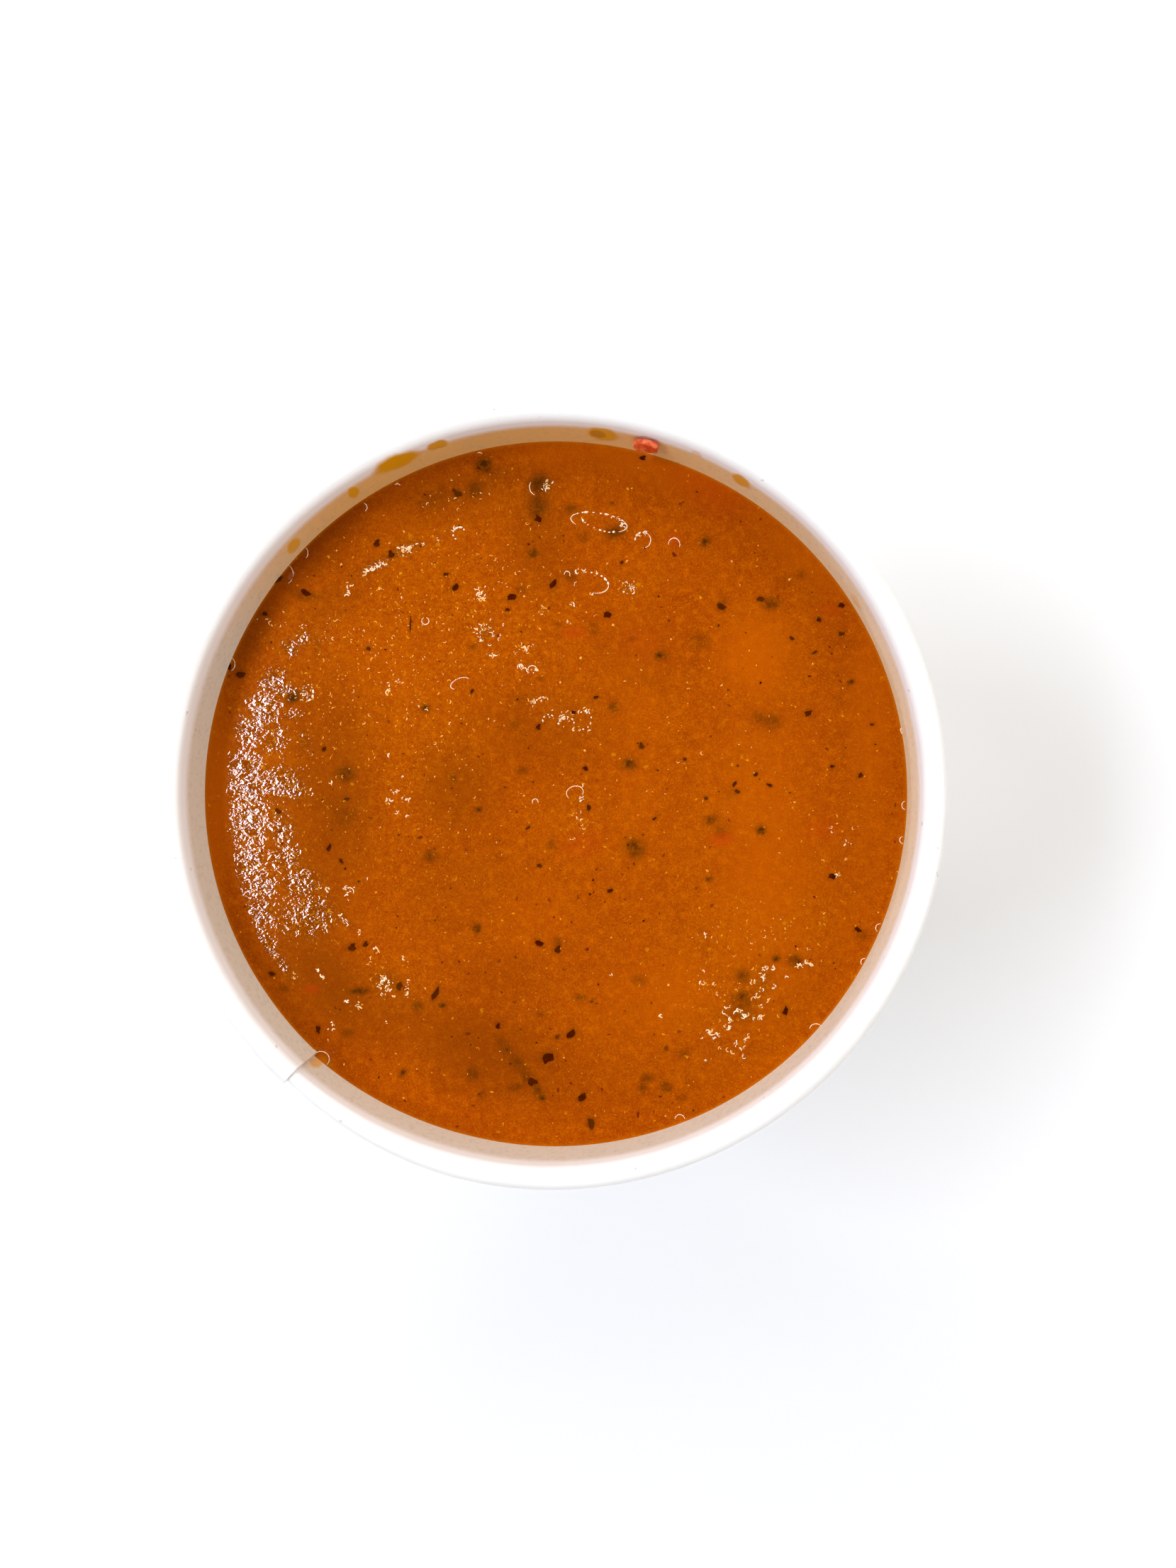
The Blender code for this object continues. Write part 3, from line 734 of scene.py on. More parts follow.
# %% Leaves at the surface
# Each leaf: pixel, length and width in pixels, turn in degrees, tone (0 dark, 0.5 olive, 1 red)
FLAKES = (
    (761, 1330, 12, 8, -45, 0.0), (786, 1339, 10, 8, 0, 0.2), (673, 1310, 11, 10, 20, 0.4),
    (828, 1339, 5, 4, 0, 0.9), (702, 1447, 7, 6, 0, 0.1), (835, 1412, 6, 4, 30, 0.5), (786, 1463, 7, 5, 30, 0.6),
    (805, 1458, 15, 9, 20, 0.1), (773, 1492, 16, 12, 40, 0.0), (751, 1525, 13, 10, -70, 0.15),
    (765, 1549, 9, 6, -20, 0.5), (821, 1547, 12, 10, 10, 0.1), (787, 1538, 5, 4, 80, 0.8),
    (660, 1458, 6, 5, 0, 0.7), (624, 1418, 8, 6, 0, 0.6), (496, 1336, 13, 8, 10, 0.2), (515, 1332, 9, 5, 30, 0.2),
    (384, 1373, 9, 6, -45, 0.2), (449, 1452, 10, 8, -90, 0.1), (507, 1398, 22, 8, 5, 0.4),
    (563, 1391, 11, 7, 80, 0.3), (615, 1402, 18, 7, 72, 0.2), (568, 1513, 10, 7, 35, 0.4),
    (1210, 1312, 9, 6, -10, 0.1), (1095, 1352, 9, 8, 0, 0.4), (1122, 1355, 15, 11, -15, 0.5),
    (1108, 1426, 11, 9, 70, 0.0), (940, 1479, 6, 4, 20, 0.5), (900, 1572, 8, 3, 85, 0.8),
    (833, 1585, 15, 9, 80, 0.3), (644, 696, 9, 12, 60, 0.3), (759, 732, 8, 14, 75, 0.1),
    (531, 766, 10, 8, 0, 0.2), (551, 782, 10, 8, 40, 0.2), (629, 810, 7, 6, 0, 0.2), (642, 828, 11, 8, 20, 0.1),
    (722, 842, 12, 8, 20, 0.0), (781, 824, 13, 7, 70, 0.0), (716, 860, 6, 4, 0, 0.2), (520, 915, 6, 5, 0, 0.3),
    (579, 880, 20, 2, 88, 0.3), (666, 975, 6, 4, 60, 0.2), (759, 1025, 7, 6, 0, 0.0), (841, 984, 7, 4, 30, 0.2),
    (809, 1005, 6, 5, 20, 0.1), (857, 867, 10, 8, 10, 0.1), (457, 1056, 6, 6, 0, 0.2),
    (826, 1084, 7, 5, -30, 0.1), (374, 866, 7, 5, 0, 0.2), (951, 783, 6, 6, 0, 0.8), (877, 793, 5, 4, 0, 0.2),
    (1018, 855, 12, 9, -60, 0.2), (1073, 845, 10, 6, 0, 0.3), (1086, 853, 9, 7, 30, 0.45),
    (1187, 854, 8, 6, 0, 0.1), (1155, 874, 6, 9, 80, 0.2), (1187, 894, 8, 7, 0, 0.3), (1117, 901, 6, 5, 0, 0.3),
    (1149, 920, 8, 3, 20, 0.3), (930, 925, 10, 8, 0, 0.6), (1140, 1006, 10, 10, 20, 0.2),
    (1200, 962, 9, 6, 20, 0.6), (1230, 1022, 5, 4, 0, 0.3), (1174, 1081, 6, 5, 0, 0.1),
    (1213, 1094, 9, 4, 40, 0.2), (1066, 1092, 6, 5, 0, 0.2), (904, 1052, 8, 7, 30, 0.3),
    (966, 1071, 5, 4, 0, 0.3), (392, 1145, 8, 7, 0, 0.3), (489, 1127, 7, 6, 0, 0.3), (464, 1196, 10, 7, 60, 0.1),
    (481, 1215, 8, 4, -40, 0.2), (592, 1181, 8, 3, 10, 0.7), (676, 1142, 8, 6, 0, 0.6), (761, 1221, 7, 5, 0, 0.3),
    (745, 1168, 7, 3, 50, 0.3), (830, 1139, 8, 6, 60, 0.2), (923, 1155, 6, 4, 30, 0.2),
    (861, 1257, 8, 5, 40, 0.1), (1000, 1240, 8, 6, 0, 0.4), (1174, 1236, 9, 7, 0, 0.1),
    (1036, 1106, 8, 4, 60, 0.2), (1040, 1117, 7, 5, 0, 0.3), (1085, 1107, 10, 3, -30, 0.2),
    (996, 1126, 5, 4, 0, 0.3), (392, 819, 18, 5, 35, 0.3), (431, 837, 14, 8, -10, 0.1),
    (340, 951, 12, 9, -30, 0.2), (325, 941, 9, 6, 70, 0.0), (906, 646, 10, 5, -15, 0.1),
    (683, 657, 13, 12, 0, 0.4), (761, 711, 12, 10, 60, 0.4), (896, 1193, 14, 9, 50, 0.35),
    (888, 1077, 12, 9, 30, 0.45), (995, 764, 9, 8, 60, 0.4), (1074, 1171, 10, 8, 0, 0.4),
    (752, 781, 11, 9, 0, 0.4), (600, 999, 9, 7, 0, 0.5), (414, 984, 12, 8, 40, 0.45),
    (1048, 1404, 12, 10, 30, 0.5),
)
SOFT_TONE, RED_TONE = 0.34, 0.65
# Size and strength of the cloud under a soaked leaf, and under a plate
SOAKED_CLOUD, HALO_CLOUD = (0.62, 0.9), (0.75, 0.35)


def flake_shade():
    """A dark halo under each sharp leaf, and the whole of each soft one."""
    rows = []
    for px, py, length, width, turn, tone in FLAKES:
        grow_by, strength = SOAKED_CLOUD if SOFT_TONE < tone < RED_TONE else HALO_CLOUD
        rows.append((px, py, grow_by * length, grow_by * width, turn, strength * (tone < RED_TONE)))
    return rows


print(len(FLAKES), "leaves at the surface")

# %% [markdown]
# ## Redder, dimmer and lighter soup
# Soup is never one colour. Where tomato lies near the top it is redder, where herbs have steeped it is
# browner, and where pulp is thick it is lighter. The darker patches along the left and top edges are also
# painted shade, the wall's shadow, and a lighter band at the left edge is painted light. At the seam a
# little clear amber liquid has drawn out.

# %% Tints in the soup
# Each patch: pixel, half length and half width in pixels, turn in degrees, strength
REDDER = (
    (440, 1395, 10, 6, 0, 0.45), (1170, 860, 16, 10, 0, 0.25), (1018, 1183, 16, 9, 10, 0.6),
    (1160, 1170, 24, 14, 0, 0.25), (905, 905, 30, 20, 0, 0.15), (807, 893, 14, 8, 0, 0.4),
    (1000, 690, 60, 30, -30, 0.3), (820, 1190, 30, 20, 0, 0.25), (950, 760, 10, 10, 0, 0.4),
)
# Darker patches: browner soup, and along the left and top edges painted shade of the wall's shadow
DIMMER_AND_SHADED = (
    (465, 1120, 70, 170, 0, 0.55), (455, 1385, 110, 60, -50, 0.7), (310, 1120, 30, 230, 0, 0.12),
    (345, 880, 90, 40, 62, 0.6), (330, 1340, 90, 30, -62, 0.3), (450, 760, 120, 44, 42, 0.55),
    (620, 645, 110, 34, 18, 0.4), (740, 640, 60, 24, 0, 0.15), (640, 700, 110, 34, 15, 0.35),
    (560, 700, 80, 24, 25, 0.35), (760, 760, 44, 90, 10, 0.35), (680, 1480, 120, 60, -20, 0.55),
    (540, 1430, 60, 60, 0, 0.4), (645, 1110, 60, 70, 0, 0.45), (760, 1030, 110, 60, 0, 0.3),
    (650, 1240, 90, 90, 0, 0.2), (900, 930, 60, 60, 0, 0.2), (700, 1380, 80, 40, 0, 0.25),
    (470, 850, 60, 30, 30, 0.3),
)
# Lighter patches: thicker pulp, and a band of painted light at the left edge
LIGHTER_AND_LIT = (
    (1080, 1230, 70, 240, 0, 0.45), (1065, 925, 50, 60, 0, 0.6), (940, 1400, 90, 60, 10, 0.4),
    (750, 1300, 60, 50, 0, 0.25), (1050, 700, 60, 30, -30, 0.3), (900, 1050, 40, 200, 0, 0.2),
    (560, 940, 70, 50, 0, 0.2), (1180, 830, 50, 60, 0, 0.2), (305, 1110, 24, 150, 0, 0.7),
    (1228, 1010, 30, 190, 0, 0.4), (1130, 780, 130, 30, -42, 0.45), (940, 664, 130, 26, -16, 0.6),
    (790, 640, 70, 20, 0, 0.35), (1200, 1290, 30, 110, -25, 0.2),
)
AMBERED = ((457, 1499, 15, 9, -36, 1.2),)
print(len(REDDER), "redder,", len(DIMMER_AND_SHADED), "dimmer and", len(LIGHTER_AND_LIT), "lighter patches")

# %% [markdown]
# ## Froth and grain
# On the left fine froth breaks the surface. Its bubbles are far too small to model, so it is a mask, and the
# finish raises a fine relief there that catches the window. Round it pulp has risen and the surface is
# grainy.

# %% Froth and grain
# Each patch: pixel, half length and half width in pixels, turn in degrees, strength
FROTHY = (
    (428, 900, 15, 12, 0, 0.7), (410, 914, 15, 12, 0, 0.85), (447, 908, 6, 20, 0, 0.5),
    (384, 960, 20, 15, 30, 1.0), (402, 975, 18, 12, 0, 1.0), (430, 976, 8, 13, 0, 0.7),
    (413, 1008, 17, 8, 0, 0.7), (374, 1000, 25, 26, 0, 0.95), (353, 1032, 19, 24, 0, 0.95),
    (386, 1042, 22, 22, 0, 0.7), (430, 1046, 10, 18, 0, 0.55), (346, 1080, 26, 26, 0, 1.0),
    (352, 1110, 31, 40, 0, 1.0), (394, 1105, 32, 24, 0, 0.95), (418, 1115, 14, 14, 0, 0.95),
    (352, 1160, 29, 42, 0, 1.0), (396, 1170, 20, 24, 0, 0.85), (352, 1215, 26, 30, 0, 1.0),
    (402, 1210, 28, 22, 0, 0.85), (366, 1250, 28, 26, 0, 1.0), (425, 1245, 30, 24, 0, 1.0),
    (368, 1288, 22, 24, 0, 0.95), (440, 1290, 36, 30, 0, 1.0), (376, 1330, 30, 12, -55, 0.95),
    (397, 1360, 24, 8, -52, 0.85), (405, 1295, 20, 30, 0, 0.6), (488, 1300, 18, 7, -40, 0.5),
    (543, 1383, 16, 14, 0, 0.6), (1045, 1432, 26, 10, 0, 0.6), (1076, 1385, 12, 30, -15, 0.45),
    (570, 775, 22, 9, 25, 0.6), (530, 797, 28, 9, 28, 0.6), (686, 892, 12, 11, 0, 0.5), (770, 682, 8, 7, 0, 0.5),
    (886, 829, 9, 9, 0, 0.5),
)
GRAINY = (
    (375, 1130, 75, 255, 8, 0.8), (420, 1330, 70, 70, 30, 0.7), (440, 920, 90, 80, 0, 0.8),
    (560, 785, 110, 50, 25, 0.8), (610, 870, 150, 120, 0, 0.8), (560, 1060, 130, 200, 0, 0.8),
    (705, 905, 90, 85, 0, 0.7), (800, 1000, 80, 60, 0, 0.7), (815, 1145, 40, 70, 0, 0.6),
    (885, 830, 50, 40, 0, 0.5), (845, 740, 70, 36, 0, 0.4), (1050, 1410, 95, 90, 0, 0.8),
    (1060, 1320, 130, 70, 20, 0.8), (545, 1390, 80, 55, 0, 0.7), (700, 730, 120, 70, 0, 0.6),
    (1150, 1250, 70, 60, 0, 0.3), (940, 1100, 280, 270, 0, 0.2), (620, 1250, 140, 90, 0, 0.4),
)
# How a cloud fades outwards from its middle
CLOUD_FALL, CLOUD_POWER = 0.9, 1.3


def clouded(points, clouds):
    """The strongest of the soft ellipses at each of the given points (rows of x, y)."""
    total = np.zeros(len(points))
    for px, py, half_length, half_width, turn, strength in clouds:
        centre = on_level(px, py, SOUP_LEVEL)
        c, s = math.cos(math.radians(turn)), math.sin(math.radians(turn))
        dx, dy = points[:, 0] - centre.x, points[:, 1] - centre.y
        u = (dx * c + dy * s) / (half_length * PIXEL)
        v = (dy * c - dx * s) / (half_width * PIXEL)
        total = np.maximum(total, strength * np.exp(-CLOUD_FALL * (u * u + v * v) ** CLOUD_POWER))
    return total


print(len(FROTHY), "patches of froth,", len(GRAINY), "of grain")

# %% [markdown]
# ## Bubbles
# Stirring left a few bubbles: some single, some merged into flat rafts. Each is a low dome of the same soup,
# so they are raised on the soup's own points and nothing has to be joined. Then every mask is kept on those
# points, with one more for the thin amber line where the soup meets the wall.

# %% Bubble domes
# Pixel, length and width in mm
BUBBLES = (
    (845, 737, 7.0, 2.8), (830, 820, 5.2, 2.7), (908, 762, 2.1, 2.1), (952, 768, 1.4, 1.4), (885, 829, 1.9, 1.7),
    (759, 679, 2.9, 2.0), (652, 753, 1.8, 1.3), (685, 895, 2.6, 2.0), (735, 919, 2.2, 1.3), (645, 962, 1.9, 1.3),
    (817, 1013, 3.2, 2.2), (811, 1117, 2.4, 2.0), (472, 1482, 0.9, 0.9), (955, 1568, 1.6, 1.6),
    (1141, 1441, 1.6, 1.6), (415, 815, 1.7, 1.7), (600, 876, 1.0, 1.0), (1238, 1300, 1.1, 1.1),
)
BUBBLE_HEIGHT_SHARE, BUBBLE_POWER = 0.04, 1.5
SURFACE_DEPTH = 1 * MM
EDGE_LINE = 0.4 * MM
# Froth keeps this many mm off the wall, and fades in over the second
FROTH_GAP, FROTH_FADE = 2.65, 0.35
SOUP_CREASE = 50


def raise_bubbles(points):
    for px, py, length, width in BUBBLES:
        centre = on_level(px, py, SOUP_LEVEL)
        u = (points[:, 0] - centre.x) / (length / 2 * MM)
        v = (points[:, 1] - centre.y) / (width / 2 * MM)
        inside = np.clip(1 - u * u - v * v, 0.0, None)
        points[:, 2] += BUBBLE_HEIGHT_SHARE * width * MM * inside ** BUBBLE_POWER


def soup_masks(points):
    """Every mask of the soup, by name, at its points."""
    rows = {"froth": FROTHY, "sunken": SUNKEN, "redder": REDDER, "grainy": GRAINY, "dim": DIMMER_AND_SHADED, "lit": LIGHTER_AND_LIT}
    masks = {name: clouded(points, clouds) for name, clouds in rows.items()}
    inward = (SOUP_EDGE - np.hypot(points[:, 0], points[:, 1])) / MM
    masks["froth"] *= np.clip(inward - FROTH_GAP, 0.0, FROTH_FADE) / FROTH_FADE
    masks["sunken"] = np.maximum(masks["sunken"], clouded(points, flake_shade()))
    to_wall = [SOUP_EDGE + seam_recess(math.atan2(y, x)) - math.hypot(x, y) for x, y, _ in points]
    masks["edge"] = np.maximum(np.clip(1 - np.array(to_wall) / EDGE_LINE, 0.0, 1.0), clouded(points, AMBERED))
    return masks


def make_soup(finish):
    values = {"Radius": SOUP_EDGE, "Floor radius": wall_inside(SOUP_FLOOR) - CLEARANCE, "Level": SOUP_LEVEL,
              "Floor": SOUP_FLOOR, "Rise": MENISCUS_RISE, "Reach": MENISCUS_REACH, "Quads": SOUP_QUADS,
              "Finish": finish}
    soup = grow("soup_body", bpy.data.meshes.new("seed"), soup_tree(), values, finish)
    mesh = soup.data
    points = np.empty(len(mesh.vertices) * 3)
    mesh.vertices.foreach_get("co", points)
    points = points.reshape(-1, 3)
    masks = soup_masks(points)
    top = points[:, 2] > SOUP_LEVEL - SURFACE_DEPTH
    surface = points[top]
    swell = np.array([noise.noise(Vector((x, y, 0.0)) / SWELL_SPAN) for x, y, _ in surface])
    surface[:, 2] += SWELL_DEPTH * swell
    raise_bubbles(surface)
    points[top] = surface
    mesh.vertices.foreach_set("co", points.ravel())
    for name, values in masks.items():
        keep(mesh, name, values)
    turn_outwards(mesh, SOUP_CREASE)
    return soup


print(len(BUBBLES), "bubble domes")

# %% [markdown]
# ## Soup finish
# Tomato soup is a suspension: red-brown liquid, yellow-orange pulp and tiny dark crumbs of herb. The colour
# is built the same way. First come slow clouds and a fine grain, then the masks kept on the points, then
# specks of pulp and crumbs, and last the leaves under the surface, which stain it olive.

# %% Colours of the soup
SOUP_BROWN = (0.345, 0.047, 0.0002)
SOUP_ORANGE = (0.385, 0.061, 0.0002)
SOUP_DEEP = (0.29, 0.037, 0.0002)
PULP_YELLOW = (0.60, 0.20, 0.002)
# Bright pulp; also the painted golden fringe round the froth's glints
PULP_BRIGHT_AND_FRINGE = (0.72, 0.27, 0.006)
LEAF_OLIVE = (0.064, 0.0185, 0.0006)
# Dimmer soup, also used as painted shade
SOUP_DIM_AND_SHADE = (0.19, 0.035, 0.0002)
# Paler soup, also used as painted light
SOUP_PALE_AND_LIT = (0.52, 0.097, 0.0003)
TOMATO_RED = (0.46, 0.038, 0.002)
EDGE_AMBER = (0.50, 0.13, 0.002)
CRUMB_DARK = (0.10, 0.012, 0.001)
# Size of the noise that tears edges, and how far it moves them
JUMBLE_SIZE, JUMBLE_REACH = 0.7 * MM, 0.9 * MM


def soup_liquid(nodes, flat, warped):
    """Slow clouds, mottle and fine grain, then the tints kept on the points, painted shade and painted light among
    them, and a painted golden fringe in the froth.
    """
    slow = nodes.spread(nodes.noise(flat, 14 * MM, 3.0), 0.3, 0.7)
    colour = nodes.mix(slow, SOUP_BROWN, SOUP_ORANGE)
    blotch = nodes.spread(nodes.noise(flat, 2.6 * MM, 4.0, 0.6), 0.45, 0.72, 0.0, 0.7)
    colour = nodes.mix(blotch, colour, SOUP_DEEP)
    mottle = nodes.noise(warped, 1.15 * MM, 4.0, 0.6)
    colour = nodes.mix(nodes.spread(mottle, 0.5, 0.68, 0.0, 0.6), colour, SOUP_PALE_AND_LIT)
    colour = nodes.mix(nodes.spread(mottle, 0.48, 0.32, 0.0, 0.5), colour, SOUP_DEEP)
    clumps = nodes.spread(nodes.noise(warped, 0.55 * MM, 3.0), 0.42, 0.68, 0.0, 0.28)
    colour = nodes.mix(nodes.math("MULTIPLY", nodes.stored("grainy"), clumps), colour, PULP_YELLOW)
    fine = nodes.noise(warped, 0.2 * MM, 4.0, 0.75)
    colour = nodes.mix(nodes.spread(fine, 0.45, 0.70, 0.0, 0.48), colour, PULP_YELLOW)
    colour = nodes.mix(nodes.spread(fine, 0.52, 0.30, 0.0, 0.62), colour, SOUP_DEEP)
    froth = nodes.stored("froth")
    # Dimmer patches are partly painted shade, lighter ones partly painted light; the froth is darkened
    for share, tint in ((nodes.stored("dim"), SOUP_DIM_AND_SHADE), (nodes.stored("lit"), SOUP_PALE_AND_LIT),
                        (nodes.math("MULTIPLY", froth, 0.85), SOUP_DIM_AND_SHADE)):
        colour = nodes.mix(share, colour, tint)
    # Painted golden fringe round the glints in the froth, in the pulp's bright colour
    golden_fringe = nodes.spread(nodes.noise(warped, 0.35 * MM, 2.0), 0.52, 0.66, 0.0, 0.5)
    return nodes.mix(nodes.math("MULTIPLY", golden_fringe, froth), colour, PULP_BRIGHT_AND_FRINGE)


def dots(nodes, place, size, radius_share, kept_share, strength, length=1.0):
    """Scattered soft specks: one in each cell of a jumbled grid, in a share of the cells."""
    drawn = nodes.add("ShaderNodeMapping", {"Vector": place, "Scale": (1.0, 1 / length, 1.0)}).outputs[0]
    cells = nodes.add("ShaderNodeTexVoronoi", {"Vector": drawn, "Scale": 1 / size})
    picked = nodes.add("ShaderNodeSeparateColor", {0: cells.outputs["Color"]}).outputs[0]
    near = nodes.spread(cells.outputs["Distance"], radius_share, radius_share * 0.5)
    return nodes.math("MULTIPLY", near, nodes.spread(picked, 1 - kept_share, 1 - kept_share * 0.8, 0.0, strength))


def soup_bits(nodes, warped, colour):
    """Pulp and crumbs in the liquid, then the leaves under it and the amber edge."""
    dashes = nodes.math("MULTIPLY", dots(nodes, warped, 0.50 * MM, 0.22, 0.5, 1.0, 2.1), nodes.stored("grainy"))
    colour = nodes.mix(dashes, colour, PULP_BRIGHT_AND_FRINGE)
    for size, radius_share, kept_share, strength, tint in (
        (1.5 * MM, 0.12, 0.45, 0.9, PULP_BRIGHT_AND_FRINGE), (4.3 * MM, 0.085, 0.6, 0.6, PULP_YELLOW),
        (2.1 * MM, 0.13, 0.25, 0.6, CRUMB_DARK),
    ):
        colour = nodes.mix(dots(nodes, warped, size, radius_share, kept_share, strength), colour, tint)
    colour = nodes.mix(nodes.stored("redder"), colour, TOMATO_RED)
    torn = nodes.spread(nodes.noise(warped, 0.7 * MM, 3.0, 0.6), 0.3, 0.62, 0.55, 1.25)
    colour = nodes.mix(nodes.math("MULTIPLY", nodes.stored("sunken"), torn), colour, LEAF_OLIVE)
    return nodes.mix(nodes.math("MULTIPLY", nodes.stored("edge"), 0.8), colour, EDGE_AMBER)


print("the soup's own colours, red first:", SOUP_BROWN, SOUP_ORANGE, SOUP_DEEP)

# %% [markdown]
# ## The soup's wet surface
# The surface is smooth and wet. Only where froth and pulp have risen is it rough, and then it is a relief
# about a tenth of a millimetre deep, in islands. A bump is the right tool: the relief changes how light is
# mirrored and not the outline.

# %% Soup finish
SOUP_GLOSS = 0.05
RELIEF_DEPTH = 0.11 * MM
RELIEF_LEVEL = 0.61
SMALL_SHARE = 0.22
GRAIN_SHARE, GRAIN_FLOOR = 0.05, 0.5
FROTH_SHEEN = 0.06


def soup_relief(nodes, shader, flat):
    stretched = nodes.add("ShaderNodeMapping", {"Vector": flat, "Scale": (0.75, 1.2, 1.0)}).outputs[0]
    large = nodes.noise(stretched, 0.70 * MM, 1.0, 0.5, 1.1)
    small = nodes.math("MULTIPLY", nodes.noise(stretched, 0.3 * MM, 1.0, 0.5, 0.6), SMALL_SHARE)
    islands = nodes.spread(nodes.noise(flat, 1.5 * MM, 2.0), 0.37, 0.50, 0.12, 1.0)
    froth = nodes.math("MULTIPLY", nodes.stored("froth"), islands)
    wire(nodes, shader, "Metallic", nodes.math("MULTIPLY", froth, FROTH_SHEEN))
    grain = nodes.math("MULTIPLY", nodes.math("ADD", nodes.stored("grainy"), GRAIN_FLOOR), GRAIN_SHARE)
    strength = nodes.math("ADD", froth, grain)
    raised = nodes.math("SUBTRACT", nodes.math("ADD", large, small), RELIEF_LEVEL)
    bump(nodes, shader, nodes.math("MULTIPLY", raised, strength), RELIEF_DEPTH)


def make_soup_finish():
    made, nodes, shader, place = finish_named("tomato_soup", SOUP_GLOSS, IOR=1.45, Specular_IOR_Level=1.0)
    split = nodes.split(place)
    flat = nodes.add("ShaderNodeCombineXYZ", {0: split[0], 1: split[1]}).outputs[0]
    warped = nodes.jumbled(flat, JUMBLE_SIZE, 2.0, JUMBLE_REACH)
    wire(nodes, shader, "Base Color", soup_bits(nodes, warped, soup_liquid(nodes, flat, warped)))
    soup_relief(nodes, shader, flat)
    return made


soup_finish = make_soup_finish()
soup = make_soup(soup_finish)
print("soup_body:", len(soup.data.polygons), "faces")

# %% [markdown]
# ## Scattering small things
# Herb flakes, pulp and the small bubbles' films with their painted glints are the same job: a few shapes,
# each laid many times. One Geometry Nodes tree does it. It reads a cloud of points that carry a place, a
# turn, a size and a tone, puts one of the shapes on each, and keeps the tone for the material.

# %% Scatter tree
def scatter_tree():
    tree, g, given, out = new_geometry_tree("scatter", [("Shapes", "Collection"), ("Finish", "Material")])
    shapes = g.add("GeometryNodeCollectionInfo", {
        "Collection": given["Shapes"], "Separate Children": True, "Reset Children": True}).outputs[0]

    def read(name, kind):
        return g.add("GeometryNodeInputNamedAttribute", {"Name": name}, data_type=kind).outputs["Attribute"]

    turn = g.add("FunctionNodeEulerToRotation", {0: read("turn", "FLOAT_VECTOR")}).outputs[0]
    placed = g.add("GeometryNodeInstanceOnPoints", {
        "Points": given["Geometry"], "Instance": shapes, "Pick Instance": True,
        "Instance Index": read("kind", "INT"), "Rotation": turn, "Scale": read("size", "FLOAT_VECTOR")}).outputs[0]
    real = g.add("GeometryNodeRealizeInstances", {"Geometry": placed}).outputs[0]
    dressed = g.add("GeometryNodeSetMaterial", {"Geometry": real, "Material": given["Finish"]}).outputs[0]
    tree.links.new(dressed, out.inputs[0])
    return tree


SCATTER = scatter_tree()
print("scatter tree:", len(SCATTER.nodes), "nodes")


def scatter(name, rows, shapes, finish):
    """Lays shapes at rows of (place, turn, size, tone, kind) and returns one piece."""
    mesh = bpy.data.meshes.new(name)
    mesh.from_pydata([row[0] for row in rows], [], [])
    for label, kind, column in (("turn", "FLOAT_VECTOR", 1), ("size", "FLOAT_VECTOR", 2)):
        keep(mesh, label, np.array([tuple(row[column]) for row in rows]).ravel(), kind)
    keep(mesh, "tone", [row[3] for row in rows])
    keep(mesh, "kind", [row[4] for row in rows], "INT")
    group = bpy.data.collections.new(name + " shapes")
    bpy.context.scene.collection.children.link(group)
    for index, shape in enumerate(shapes):
        group.objects.link(bpy.data.objects.new(f"shape_{index:02d}", shape))
    piece = grow(name, mesh, SCATTER, {"Shapes": group, "Finish": finish}, finish)
    for shape in list(group.objects):
        bpy.data.objects.remove(shape)
    bpy.data.collections.remove(group)
    print(name + ":", len(rows), "laid,", len(piece.data.polygons), "faces")
    return piece


def somewhere(draw, share, sunk):
    """A random point of the surface within a share of its radius, sunk by a depth."""
    radius, angle = SOUP_EDGE * share * math.sqrt(draw.random()), draw.uniform(0, math.tau)
    x, y = radius * math.cos(angle), radius * math.sin(angle)
    return Vector((x, y, soup_height(x, y) - sunk))


def any_way(draw):
    """A random turn about the upright axis."""
    return 0.0, 0.0, draw.uniform(0, math.tau)


# %% [markdown]
# ## Herb flakes
# Dried basil and oregano break into angular plates. A few torn outlines, cut thin and slightly cupped, are
# enough variety, because each is turned and stretched. The large ones were read from the photograph one by
# one; the crumbs between them are seeded.

# %% Herb flakes
FLAKE_THICKNESS = 0.16 * MM
FLAKE_STRETCH = 1.25
FLAKE_TILT = 0.04
FLAKE_SUNK, CRUMB_SUNK = 0.55 * FLAKE_THICKNESS, 0.6 * FLAKE_THICKNESS
# Corners and cup of each torn outline
PLATES = ((7, 0.0), (9, 0.5), (8, 0.3), (6, 0.0), (9, 0.4))
# Crumbs: how many, share of the soup's radius they reach, least and most length in mm, width by length
CRUMBS, CRUMB_REACH = 170, 0.985
CRUMB_LENGTHS, CRUMB_WIDTHS = (0.16, 0.42), (0.45, 0.9)
DARK_BROWN = (0.052, 0.0042, 0.0003)
OLIVE_BROWN = (0.105, 0.026, 0.0008)
DARK_RED = (0.17, 0.014, 0.003)


def torn_plate(draw, corners, bend):
    """A thin torn leaf of unit size, cupped by bend."""
    ring = []
    for k in range(corners):
        angle = math.tau * (k + draw.uniform(-0.4, 0.4)) / corners
        reach = 0.5 * draw.uniform(0.45, 1.25)
        ring.append((reach * math.cos(angle), reach * math.sin(angle)))
    points = []
    for level in (0.0, 1.0):
        points += [(x, y, level + bend * (x * x + y * y) * 4) for x, y in ring]
        points.append((0.0, 0.0, level))
    faces = []
    for k in range(corners):
        after = (k + 1) % corners
        faces.append((after, k, corners))
        faces.append((corners + 1 + k, corners + 1 + after, 2 * corners + 1))
        faces.append((k, after, corners + 1 + after, corners + 1 + k))
    return mesh_of("torn plate", points, faces)


